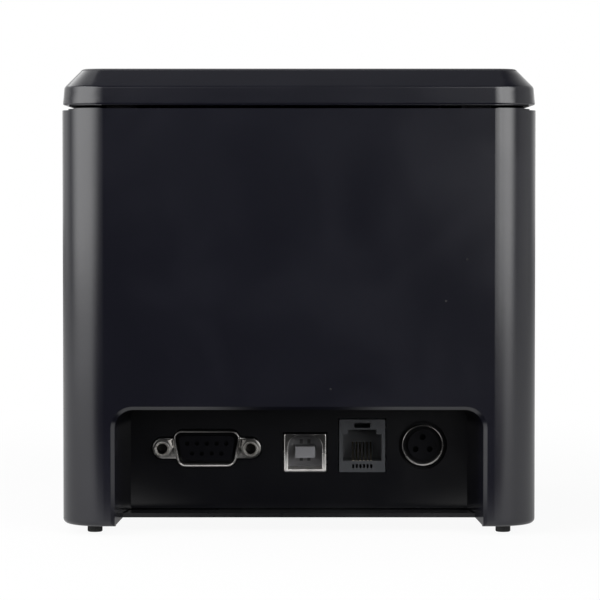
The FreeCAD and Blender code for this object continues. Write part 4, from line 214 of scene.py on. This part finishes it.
# %% Finish the floor
wedge_paleness = 0.02
floor_paleness = 0.65
floor_in_mirrors = 0.30
glow_near_printer = 0.93
shadow_start = 0.12
shadow_end = 0.40
paleness = fade(paint, pale_part, 0.0, 1.0, wedge_paleness, floor_paleness)
reach = add(paint, "VectorMath")
reach.operation = "LENGTH"
feed(paint, reach.inputs[0], floor_spot)
glow_share = fade(paint, reach.outputs["Value"], shadow_start, shadow_end, glow_near_printer, 1.0)
ray = add(paint, "LightPath").outputs
lit = add(paint, "BsdfDiffuse", Color=calculate(paint, "MAXIMUM", paleness, ray["Is Camera Ray"]))
glow = add(paint, "Emission", Strength=1.0)
to_eye = calculate(paint, "MULTIPLY", ray["Is Camera Ray"], glow_share)
mirror_share = calculate(paint, "MULTIPLY", pale_part, floor_in_mirrors)
to_mirror = calculate(paint, "MULTIPLY", ray["Is Glossy Ray"], mirror_share)
seen = calculate(paint, "MAXIMUM", to_eye, ray["Is Transmission Ray"])
glowing = calculate(paint, "MAXIMUM", seen, to_mirror)
add(paint, "OutputMaterial", Surface=mix_shaders(paint, glowing, lit, glow))
print("floor paleness", floor_paleness, "in the wedge", wedge_paleness)

# %% [markdown]
# A softbox is a lamp behind white cloth: brightest in the middle, fading to its upright edges. A plain
# area lamp would draw hard-edged stripes on the rounded corners. So each lamp here has nodes of its
# own, which dim it from the middle of its width outwards.


# %% Sew a softbox
lamp_aim = Vector((0, 0, 0.06))


def softbox(name, turn, height, distance, size, brightness, core=0.0):
    """Lamp at a turn in degrees from the rear; core is the share of its width that is evenly bright."""
    lamp = bpy.data.lights.new(name, "AREA")
    lamp.shape = "RECTANGLE"
    lamp.size, lamp.size_y = size
    lamp.energy = brightness * math.pi * size[0] * size[1]
    cloth = bare_tree(lamp)
    across = add(cloth, "SeparateXYZ", Vector=add(cloth, "NewGeometry").outputs["Parametric"])
    off_middle = calculate(cloth, "ABSOLUTE", calculate(cloth, "SUBTRACT", across.outputs["X"], 0.5))
    bright = add(cloth, "Emission", Strength=fade(cloth, off_middle, core / 2, 0.5, 1.0, 0.0))
    add(cloth, "OutputLight", Surface=bright.outputs[0])
    stand = bpy.data.objects.new(name, lamp)
    angle = math.radians(turn)
    stand.location = (distance * math.sin(angle), distance * math.cos(angle), height)
    stand.rotation_euler = (lamp_aim - stand.location).to_track_quat("-Z", "Y").to_euler()
    stand.visible_camera = False
    scene.collection.objects.link(stand)


print("softboxes aim at", list(lamp_aim))

# %% [markdown]
# The left softbox is wide and stands beside the printer. The right one is narrower and stands further
# round towards the eye, so the two rounded corners get highlights of different width and place. A slim
# strip sharpens the inner edge of the right highlight, and two faint fills carry both of them round
# the sides. All of these end near the floor, which lets the highlights fade downwards. The high one
# stands beyond the printer and lights its top and front. What hangs straight above is faint, so the
# sloping edge of the lid stays dark.

# %% Hang the softboxes
side_height = 0.535
side_cloth = 1.1
softbox("left_softbox", 55, side_height, 1.10, (2.65, side_cloth), 3.15, core=0.2)
softbox("left_fill", 112, side_height, 1.20, (1.2, side_cloth), 0.4, core=0.2)
softbox("right_softbox", -36, side_height, 1.20, (1.4, side_cloth), 3.6, core=0.2)
softbox("right_strip", -16, side_height, 1.20, (0.36, side_cloth), 1.7, core=0.7)
softbox("right_fill", -85, side_height, 1.20, (1.8, side_cloth), 0.45, core=0.2)
softbox("high_softbox", 152, 1.15, 0.90, (1.7, 1.4), 1.6)
softbox("overhead_cloth", 0, 1.40, 0.05, (1.2, 1.2), 0.14, core=0.6)

# %% [markdown]
# Many finishes share an effect, such as the grain of moulded plastic. It could be drawn anew in every
# material, but one node group, built once and placed in each material with its own values, keeps them
# all alike. The groups give only heights and masks, and each material decides what they change.


# %% Make a starter for effects
def new_effect(name, output, **settings):
    """An empty effect with numbers to set and one output; gives these and the place on the piece."""
    effect = bpy.data.node_groups.new(name, "ShaderNodeTree")
    for setting, usual in settings.items():
        title = setting.replace("_", " ")
        number = effect.interface.new_socket(title, in_out="INPUT", socket_type="NodeSocketFloat")
        number.default_value = usual
    effect.interface.new_socket(output, in_out="OUTPUT", socket_type="NodeSocketFloat")
    given = effect.nodes.new("NodeGroupInput").outputs
    result = effect.nodes.new("NodeGroupOutput").inputs
    place = effect.nodes.new("ShaderNodeTexCoord").outputs["Object"]
    return effect, given, result, place


print("effects so far", len(bpy.data.node_groups))

# %% [markdown]
# The mould of such a case is spark-eroded, which leaves a fine, even grain on the plastic. It is far
# too fine to model, and a photograph of it would repeat, so a noise a third of a millimetre wide is
# used as a height.

# %% Build the grain of moulded plastic
grain_effect, given, result, place = new_effect("moulded_grain", "Height", Grains_per_metre=3000.0)
fine = add(grain_effect, "TexNoise", Vector=place, Scale=given["Grains per metre"],
           Detail=2.0, Roughness=0.6)
feed(grain_effect, result["Height"], fine.outputs["Fac"])
print("effect", grain_effect.name)

# %% [markdown]
# Hands and packing leave a faint haze in patches some centimetres wide. A soft, twisted noise gives
# their shape as a mask. Metals use it too, with smaller patches, for their tarnish.

# %% Build the haze of handling
clear_below = 0.35
hazy_above = 0.7
haze_effect, given, result, place = new_effect("handling_haze", "Mask", Patches_per_metre=25.0)
cloud = add(haze_effect, "TexNoise", Vector=place, Scale=given["Patches per metre"],
            Detail=5.0, Distortion=0.6)
patches = fade(haze_effect, cloud.outputs["Fac"], clear_below, hazy_above, 0.0, 1.0)
feed(haze_effect, result["Mask"], patches)
print("effect", haze_effect.name)

# %% [markdown]
# Dust shows on black as rare pale specks. They could be scattered as tiny solids, but they lie flat,
# so a mask is enough: a Voronoi pattern has one point in each cell, a speck is what lies near that
# point, and only the cells whose random colour is high keep theirs.

# %% Build the specks of dust
bare_cells = 0.72
speck_effect, given, result, place = new_effect("dust_specks", "Mask", Cells_per_metre=130.0, Size=0.035)
cells = add(speck_effect, "TexVoronoi", Vector=place, Scale=given["Cells per metre"]).outputs
chance = add(speck_effect, "SeparateColor", Color=cells["Color"]).outputs["Red"]
near = calculate(speck_effect, "LESS_THAN", cells["Distance"], given["Size"])
kept = calculate(speck_effect, "GREATER_THAN", chance, bare_cells)
feed(speck_effect, result["Mask"], calculate(speck_effect, "MULTIPLY", near, kept))
print("effect", speck_effect.name, "in", round(1 - bare_cells, 2), "of the cells")

# %% [markdown]
# The recess is moulded in one with the case, yet its inside looks deeper black than the rear wall.
# Dimmer lamps would darken both. So a mask marks what lies between the sides and under the top of the
# recess, fading in from the rim, and a painted shade darkens the colour of the case plastic there.

# %% Build the painted shade of the recess
shade_start = 0.8 * mm
shade_full = 12.0 * mm
shade_back = 32.0 * mm
recess_shade_effect, given, result, place = new_effect(
    "painted_recess_shade", "Mask", Half_width=52.0 * mm, Top=36.2 * mm)
spot = add(recess_shade_effect, "SeparateXYZ", Vector=place).outputs
aside = calculate(recess_shade_effect, "ABSOLUTE", spot["X"])
shade = fade(recess_shade_effect, spot["Y"], rear_y - shade_full, rear_y - shade_start, 1.0, 0.0)
for reading, kind, limit in ((aside, "LESS_THAN", given["Half width"]),
                             (spot["Z"], "LESS_THAN", given["Top"]),
                             (spot["Y"], "GREATER_THAN", rear_y - shade_back)):
    within = calculate(recess_shade_effect, kind, reading, limit)
    shade = calculate(recess_shade_effect, "MULTIPLY", shade, within)
feed(recess_shade_effect, result["Mask"], shade)
print("effect", recess_shade_effect.name, "from", shade_start / mm, "to", shade_back / mm, "mm deep")

# %% [markdown]
# The plated shells of the sockets are worn and rough at the foot and smoother at the top. Their colour is
# also painted darker towards the top, a painted shade for the shade of the recess that they mirror. Two
# materials with a border would show a line, so a mask fades from 1 at the foot to 0 at the top.

# %% Build the rubbed foot and the painted top shade of the sockets
foot_wear_and_top_shade, given, result, place = new_effect("rubbed_foot_and_top_shade", "Mask", Top=25.0 * mm, Foot=16.0 * mm)
height = add(foot_wear_and_top_shade, "SeparateXYZ", Vector=place).outputs["Z"]
feed(foot_wear_and_top_shade, result["Mask"], fade(foot_wear_and_top_shade, height, given["Foot"], given["Top"], 1.0, 0.0))
print("effect", foot_wear_and_top_shade.name)

# %% [markdown]
# The flat top of the lid and the front cover is what hands touch and rub, so it is duller than the
# walls. It belongs to the same solids as their sloping edges, and their meshes stay as they came, so a
# mask marks the last half millimetre of the height.

# %% Build the matt top
lid_edge = 0.5 * mm
matt_above = Vector(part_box("paper_cover")[1]).z - lid_edge
top_effect, given, result, place = new_effect("matt_top", "Mask", Height=matt_above)
height = add(top_effect, "SeparateXYZ", Vector=place).outputs["Z"]
feed(top_effect, result["Mask"], calculate(top_effect, "GREATER_THAN", height, given["Height"]))
print("effect", top_effect.name, "above", round(matt_above / mm, 2), "mm")

# %% [markdown]
# The two screwlocks of the serial socket are hollow, and their bores look nearly black. The softboxes
# still brighten the walls of the bores here, so a mask marks the two round holes, measured from the
# middle between the screws, and a painted shade makes the metal dark there.


# %% Build the painted shade of the bores
def middle_of(node):
    """Halfway between the lowest and highest corners of a piece."""
    low, high = (Vector(corner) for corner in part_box(node))
    return (low + high) / 2


screws = middle_of("serial_jackscrews")
bore_shade_effect, given, result, place = new_effect(
    "painted_bore_shade", "Mask", Middle=screws.x, Half_span=12.5 * mm, Height=screws.z, Radius=1.5 * mm)
spot = add(bore_shade_effect, "SeparateXYZ", Vector=place).outputs
across = calculate(bore_shade_effect, "ABSOLUTE", calculate(bore_shade_effect, "SUBTRACT", spot["X"], given["Middle"]))
across = calculate(bore_shade_effect, "SUBTRACT", across, given["Half span"])
above = calculate(bore_shade_effect, "SUBTRACT", spot["Z"], given["Height"])
squares = [calculate(bore_shade_effect, "MULTIPLY", side, side) for side in (across, above)]
off_axis = calculate(bore_shade_effect, "SQRT", calculate(bore_shade_effect, "ADD", *squares))
feed(bore_shade_effect, result["Mask"], calculate(bore_shade_effect, "LESS_THAN", off_axis, given["Radius"]))
print("effect", bore_shade_effect.name, "about", [round(v / mm, 2) for v in screws])

# %% [markdown]
# The tongue of the square socket carries four contacts in shallow slots, two above and two below.
# They are tenths of a millimetre deep, so their shade is painted into its finish as a mask of four
# darker marks, placed by their distance from the middle of the socket's shell.

# %% Build the painted shade of the contact slots
slot_half = {"X": 0.45 * mm, "Z": 0.65 * mm}
shell = middle_of("usb_shell")
slot_shade_effect, given, result, place = new_effect(
    "painted_slot_shade", "Mask", Middle=shell.x, Height=shell.z, Beside=1.10 * mm, Above=2.45 * mm)
spot = add(slot_shade_effect, "SeparateXYZ", Vector=place).outputs
marks = []
for axis, middle, step in (("X", "Middle", "Beside"), ("Z", "Height", "Above")):
    away = calculate(slot_shade_effect, "SUBTRACT", spot[axis], given[middle])
    away = calculate(slot_shade_effect, "SUBTRACT", calculate(slot_shade_effect, "ABSOLUTE", away), given[step])
    away = calculate(slot_shade_effect, "ABSOLUTE", away)
    marks.append(calculate(slot_shade_effect, "LESS_THAN", away, slot_half[axis]))
feed(slot_shade_effect, result["Mask"], calculate(slot_shade_effect, "MULTIPLY", *marks))
print("effect", slot_shade_effect.name, "about", [round(v / mm, 2) for v in shell])

# %% [markdown]
# Sheet metal, shafts and plated shells are drawn or rolled, which leaves fine lines along them. A noise
# that is stretched along one axis gives such lines, without an image and at any size.

# %% Build the drawn lines of metal
line_stretch = 0.03
line_effect, given, result, place = new_effect("drawn_lines", "Height", Lines_per_metre=4000.0)
stretched = add(line_effect, "Mapping", Vector=place, Scale=(line_stretch, 1.0, 1.0)).outputs["Vector"]
strokes = add(line_effect, "TexNoise", Vector=stretched, Scale=given["Lines per metre"], Detail=3.0)
feed(line_effect, result["Height"], strokes.outputs["Fac"])
print("effects", [group.name for group in bpy.data.node_groups])

# %% [markdown]
# Every finish starts from one Principled shader, which covers plastic, rubber, metal and clear parts
# and which other programs can read as well. The helpers here start a finish under its name and place
# an effect in it.


# %% Make helpers that start a finish
finishes = {}


def start_finish(name):
    """A new finish with one Principled shader; gives its node tree and the shader's inputs."""
    finishes[name] = bpy.data.materials.new(name)
    tree = bare_tree(finishes[name])
    shader = add(tree, "BsdfPrincipled")
    add(tree, "OutputMaterial", Surface=shader.outputs[0])
    return tree, shader.inputs


def place_effect(tree, effect, **settings):
    """An effect with its own settings in a finish; gives its height or mask."""
    node = add(tree, "Group")
    node.node_tree = effect
    for setting, value in settings.items():
        feed(tree, node.inputs[setting.replace("_", " ")], value)
    return node.outputs[0]


print("finish helpers", [helper.__name__ for helper in (start_finish, place_effect)])

# %% [markdown]
# An effect gives a mask or a height, and a finish turns these into what is seen. A mask mixes two
# colours or two numbers. A height makes small bumps, which change only how the light falls and are
# enough for grain this fine. A Mix node has its two colours at places 6 and 7 and their mixture at 2.


# %% Make helpers that mix and lift
def mix_colour(tree, mask, first, second):
    """The first colour where a mask is 0 and the second where it is 1."""
    mix = add(tree, "Mix", Factor=mask)
    mix.data_type = "RGBA"
    feed(tree, mix.inputs[6], first)
    feed(tree, mix.inputs[7], second)
    return mix.outputs[2]


def mix_value(tree, mask, low, high):
    """The low number where a mask is 0 and the high one where it is 1."""
    return add(tree, "MapRange", Value=mask, To_Min=low, To_Max=high).outputs["Result"]


def lift(tree, shader, height, depth, strength):
    """Small bumps from a height."""
    bump = add(tree, "Bump", Height=height, Distance=depth, Strength=strength)
    feed(tree, shader["Normal"], bump.outputs["Normal"])


def scaled(colour, share):
    """A lighter or darker colour of the same hue."""
    return tuple(min(1.0, part * share) for part in colour)


print("mix helpers", [helper.__name__ for helper in (mix_colour, mix_value, lift, scaled)])

# %% [markdown]
# One recipe makes every moulded piece. The grain lifts the surface by a hundredth of a millimetre, the
# haze changes gloss and shade a little, and dust sits in rare pale specks. One flat colour would be
# simpler, but a real moulding is never so even, and on black it would look like a cut-out.


# %% Write the plastic recipe
# The share of its colour that a piece keeps under a painted shade.
painted_shade_share = 0.3


def moulded(name, colour, rough, grains=3000.0, depth=0.03 * mm, strength=0.35, dust=0.0, haze=0.15,
            level=0.5, painted_shade=None, top_rough=None):
    """Plastic or rubber with a roughness, a mirror level, a grain, and dust and haze if any.

    shaded is an effect whose mask gets a painted shade, and top_rough is the roughness of the lid's top.
    """
    tree, shader = start_finish(name)
    feed(tree, shader["Specular IOR Level"], level)
    patches = place_effect(tree, haze_effect)
    shade = mix_colour(tree, patches, colour, scaled(colour, 1 + 2 * haze))
    if dust:
        shade = mix_colour(tree, place_effect(tree, speck_effect), shade, (dust, dust, dust))
    # Painted shade: where the mask is 1 the colour is darkened to a share of itself.
    if painted_shade:
        shade = mix_colour(tree, place_effect(tree, painted_shade), shade, scaled(colour, painted_shade_share))
    feed(tree, shader["Base Color"], shade)
    roughness = mix_value(tree, patches, rough * (1 - haze), rough * (1 + haze))
    if top_rough:
        added = mix_value(tree, place_effect(tree, top_effect), 0.0, top_rough - rough)
        roughness = calculate(tree, "ADD", roughness, added)
    feed(tree, shader["Roughness"], roughness)
    lift(tree, shader, place_effect(tree, grain_effect, Grains_per_metre=grains), depth, strength)


print("plastic recipe written")

# %% [markdown]
# Metal pieces share a second recipe: drawn lines that change the roughness and lift the surface, and
# patches of tarnish that dull the colour. Plated sockets add their rubbed foot and a painted shade at
# the top, and the screwlocks a painted shade in their bores.


# %% Write the metal recipe
line_depth = 0.02 * mm
line_contrast = 0.3
tarnish_patches = 160.0
bore_shade = (0.05, 0.047, 0.043)


def drawn_metal(name, colour, rough, lines=4000.0, strength=0.12, dull=0.6, foot_rough=None, head=0.7,
                shade_bores=False):
    """Metal with a roughness and drawn lines; dull is the shade of its tarnish.

    foot_rough is the roughness of a rubbed foot, head the share of colour that a painted shade leaves
    above it, and bored paints shade into the holes.
    """
    tree, shader = start_finish(name)
    feed(tree, shader["Metallic"], 1.0)
    strokes = place_effect(tree, line_effect, Lines_per_metre=lines)
    patches = place_effect(tree, haze_effect, Patches_per_metre=tarnish_patches)
    shade = mix_colour(tree, patches, colour, scaled(colour, dull))
    roughness = mix_value(tree, strokes, rough * (1 - line_contrast), rough * (1 + line_contrast))
    # Painted shade: the colour above the rubbed foot is darkened to a share of itself.
    if foot_rough:
        foot = place_effect(tree, foot_wear_and_top_shade)
        shade = mix_colour(tree, foot, scaled(colour, head), shade)
        roughness = calculate(tree, "ADD", roughness, mix_value(tree, foot, 0.0, foot_rough - rough))
    # Painted shade in the bores of the screwlocks.
    if shade_bores:
        shade = mix_colour(tree, place_effect(tree, bore_shade_effect), shade, bore_shade)
    feed(tree, shader["Base Color"], shade)
    feed(tree, shader["Roughness"], roughness)
    lift(tree, shader, strokes, line_depth, strength)


print("metal recipe written")

# %% [markdown]
# The case is satin black with a trace of blue, smooth enough to mirror the softboxes. The tray, the
# feet, the switch and the controls are other mouldings in their own blacks and greys. One black for all
# would hide where a piece ends, so each has its own mixture.

# %% Mix the outside plastics
# The case plastic gets a painted shade inside the recess.
moulded("case_plastic", (0.0050, 0.0051, 0.0090), 0.18, strength=0.2, dust=0.03, haze=0.12, level=0.8,
        painted_shade=recess_shade_effect, top_rough=0.55)
moulded("tray_plastic", (0.0040, 0.0040, 0.0052), 0.30)
moulded("foot_rubber", (0.012, 0.012, 0.012), 0.75, grains=1800.0, depth=0.06 * mm, strength=0.5)
moulded("control_plastic", (0.05, 0.05, 0.055), 0.3)
moulded("switch_black", (0.010, 0.010, 0.010), 0.22, strength=0.15)
print("finishes", list(finishes))

# %% [markdown]
# The sockets are the brightest things on the black rear side. Their shells are nickel plated, the
# contacts are gilt, and the inserts range from black to grey. The plated shells get a painted shade at
# their top, and the serial shell and the power ring more of it than the square shell. The screwlocks are
# duller and get painted shade in their bores, so these have finishes of their own.

# %% Mix the finishes of the sockets
moulded("socket_black", (0.0020, 0.0020, 0.0030), 0.22, strength=0.15, level=0.25)
# The tongue gets a painted shade in its contact slots.
moulded("tongue_plastic", (0.150, 0.150, 0.158), 0.45, painted_shade=slot_shade_effect)
moulded("jack_plastic", (0.034, 0.036, 0.040), 0.36)
# Both platings are painted darker at the top, the rim plating more so.
drawn_metal("socket_nickel", (0.84, 0.82, 0.80), 0.14, strength=0.05, dull=0.75, foot_rough=0.45)
drawn_metal("rim_nickel_shaded_top", (0.80, 0.78, 0.76), 0.14, strength=0.05, dull=0.75, foot_rough=0.40, head=0.3)
drawn_metal("screwlock_nickel", (0.84, 0.82, 0.78), 0.36, strength=0.08, shade_bores=True)
drawn_metal("contact_gold", (0.88, 0.80, 0.66), 0.30)
print("finishes", len(finishes))

# %% [markdown]
# Inside are the mechanism and its drives, seen when the lid is open: white gears, a rubber roller,
# brass pinions, and steel that is bright on blades and shafts and dull on sheet and motors. The two
# recipes make all of them, with other colours and roughness.

# %% Mix the inside finishes
moulded("inner_plastic", (0.013, 0.013, 0.014), 0.48)
moulded("gear_white", (0.68, 0.67, 0.62), 0.33, strength=0.1)
moulded("platen_rubber_grey", (0.035, 0.035, 0.036), 0.6, grains=6000.0)
moulded("board_component", (0.02, 0.02, 0.021), 0.5)
drawn_metal("screw_steel", (0.55, 0.55, 0.55), 0.35)
drawn_metal("plain_steel", (0.60, 0.60, 0.60), 0.22)
drawn_metal("sheet_steel", (0.55, 0.56, 0.57), 0.40, lines=1500.0)
drawn_metal("blade_steel", (0.66, 0.66, 0.67), 0.18, lines=6000.0, dull=0.9)
drawn_metal("sink_aluminium", (0.74, 0.74, 0.74), 0.38)
drawn_metal("pinion_brass", (0.72, 0.53, 0.24), 0.26)
drawn_metal("shaft_steel", (0.56, 0.56, 0.56), 0.25)
drawn_metal("motor_can", (0.42, 0.42, 0.43), 0.35)
print("finishes", len(finishes))

# %% [markdown]
# The circuit boards are green lacquer over copper tracks. Real tracks would need a drawing of the
# circuit. A brick pattern is enough here: its joints stand for tracks, a little paler and raised.

# %% Mix the board laminate
tracks_per_metre = 160.0
track_depth = 0.04 * mm
tree, shader = start_finish("board_laminate")
tracks = add(tree, "TexBrick", Vector=add(tree, "TexCoord").outputs["Object"], Scale=tracks_per_metre,
             Mortar_Size=0.035, Color1=(0.012, 0.075, 0.030), Color2=(0.016, 0.092, 0.038),
             Mortar=(0.035, 0.160, 0.060)).outputs
feed(tree, shader["Base Color"], tracks["Color"])
feed(tree, shader["Roughness"], mix_value(tree, place_effect(tree, haze_effect), 0.22, 0.36))
lift(tree, shader, tracks["Fac"], track_depth, strength=0.4)
print("finish board_laminate, tracks", tracks_per_metre, "to the metre")

# %% [markdown]
# The print head is a strip of glazed ceramic, and the lenses over the lights are clear plastic. Both
# are smooth and have only a faint cloudiness. The same coarse grain, used as a mask, mixes two close
# colours and two roughnesses for each.


# %% Mix the ceramic and the clear lenses
def cloudy(name, grains, colours, roughs):
    """A smooth finish that wanders between two colours and two roughnesses."""
    tree, shader = start_finish(name)
    clouds = place_effect(tree, grain_effect, Grains_per_metre=grains)
    feed(tree, shader["Base Color"], mix_colour(tree, clouds, *colours))
    feed(tree, shader["Roughness"], mix_value(tree, clouds, *roughs))
    return tree, shader


cloudy("head_ceramic", 900.0, ((0.50, 0.46, 0.38), (0.60, 0.56, 0.48)), (0.12, 0.22))
tree, shader = cloudy("lens_clear", 1500.0, ((0.75, 0.80, 0.82), (0.86, 0.90, 0.92)), (0.10, 0.25))
feed(tree, shader["Transmission Weight"], 0.85)
feed(tree, shader["IOR"], 1.49)
print("finishes in all", len(finishes))

# %% [markdown]
# Each piece of the record names its finish, so the finishes are handed out from that list and no piece
# is forgotten. The record has one nickel for all the sockets. The serial shell and the ring of the power
# socket take a nickel with more painted shade at the top, and the screwlocks a rougher one with painted
# shade in their bores.

# %% Dress the pieces
own_finish = {
    "serial_jackscrews": "screwlock_nickel",
    "serial_shell": "rim_nickel_shaded_top",
    "power_ring": "rim_nickel_shaded_top",
}
for piece in frame["record"]["subparts"]:
    solid = frame["nodes"][piece["node"]]
    solid.data.materials.clear()
    solid.data.materials.append(finishes[own_finish.get(piece["node"], piece["material_slot"])])

# %% [markdown]
# No moulded or pressed edge is perfectly sharp. The solids could be rounded by hand, but their meshes
# stay as they came, so a bevel modifier rounds the edges that the eye meets first by a few tenths of a
# millimetre, and they catch a thin line of light. The faces come in unjoined, so they are welded first.


# %% Round the sharp edges
def round_edges(node, radius, steps=3, from_angle=30):
    """Join the faces of a solid, bevel its sharp edges and keep the large faces flat to the light."""
    solid = frame["nodes"][node]
    weld = solid.modifiers.new("joined_faces", "WELD")
    weld.merge_threshold = 0.002 * mm
    bevel = solid.modifiers.new("soft_edges", "BEVEL")
    bevel.width = radius
    bevel.segments = steps
    bevel.limit_method = "ANGLE"
    bevel.angle_limit = math.radians(from_angle)
    bevel.use_clamp_overlap = False
    flat = solid.modifiers.new("flat_faces", "WEIGHTED_NORMAL")
    flat.keep_sharp = False


edge_radii = {
    "paper_cover": lid_edge,
    "usb_shell": 0.2 * mm,
    "serial_shell": 0.3 * mm,
    "drawer_contacts": 0.12 * mm,
}
for node, radius in edge_radii.items():
    round_edges(node, radius)
print("edges rounded, in mm", {node: round(radius / mm, 2) for node, radius in edge_radii.items()})
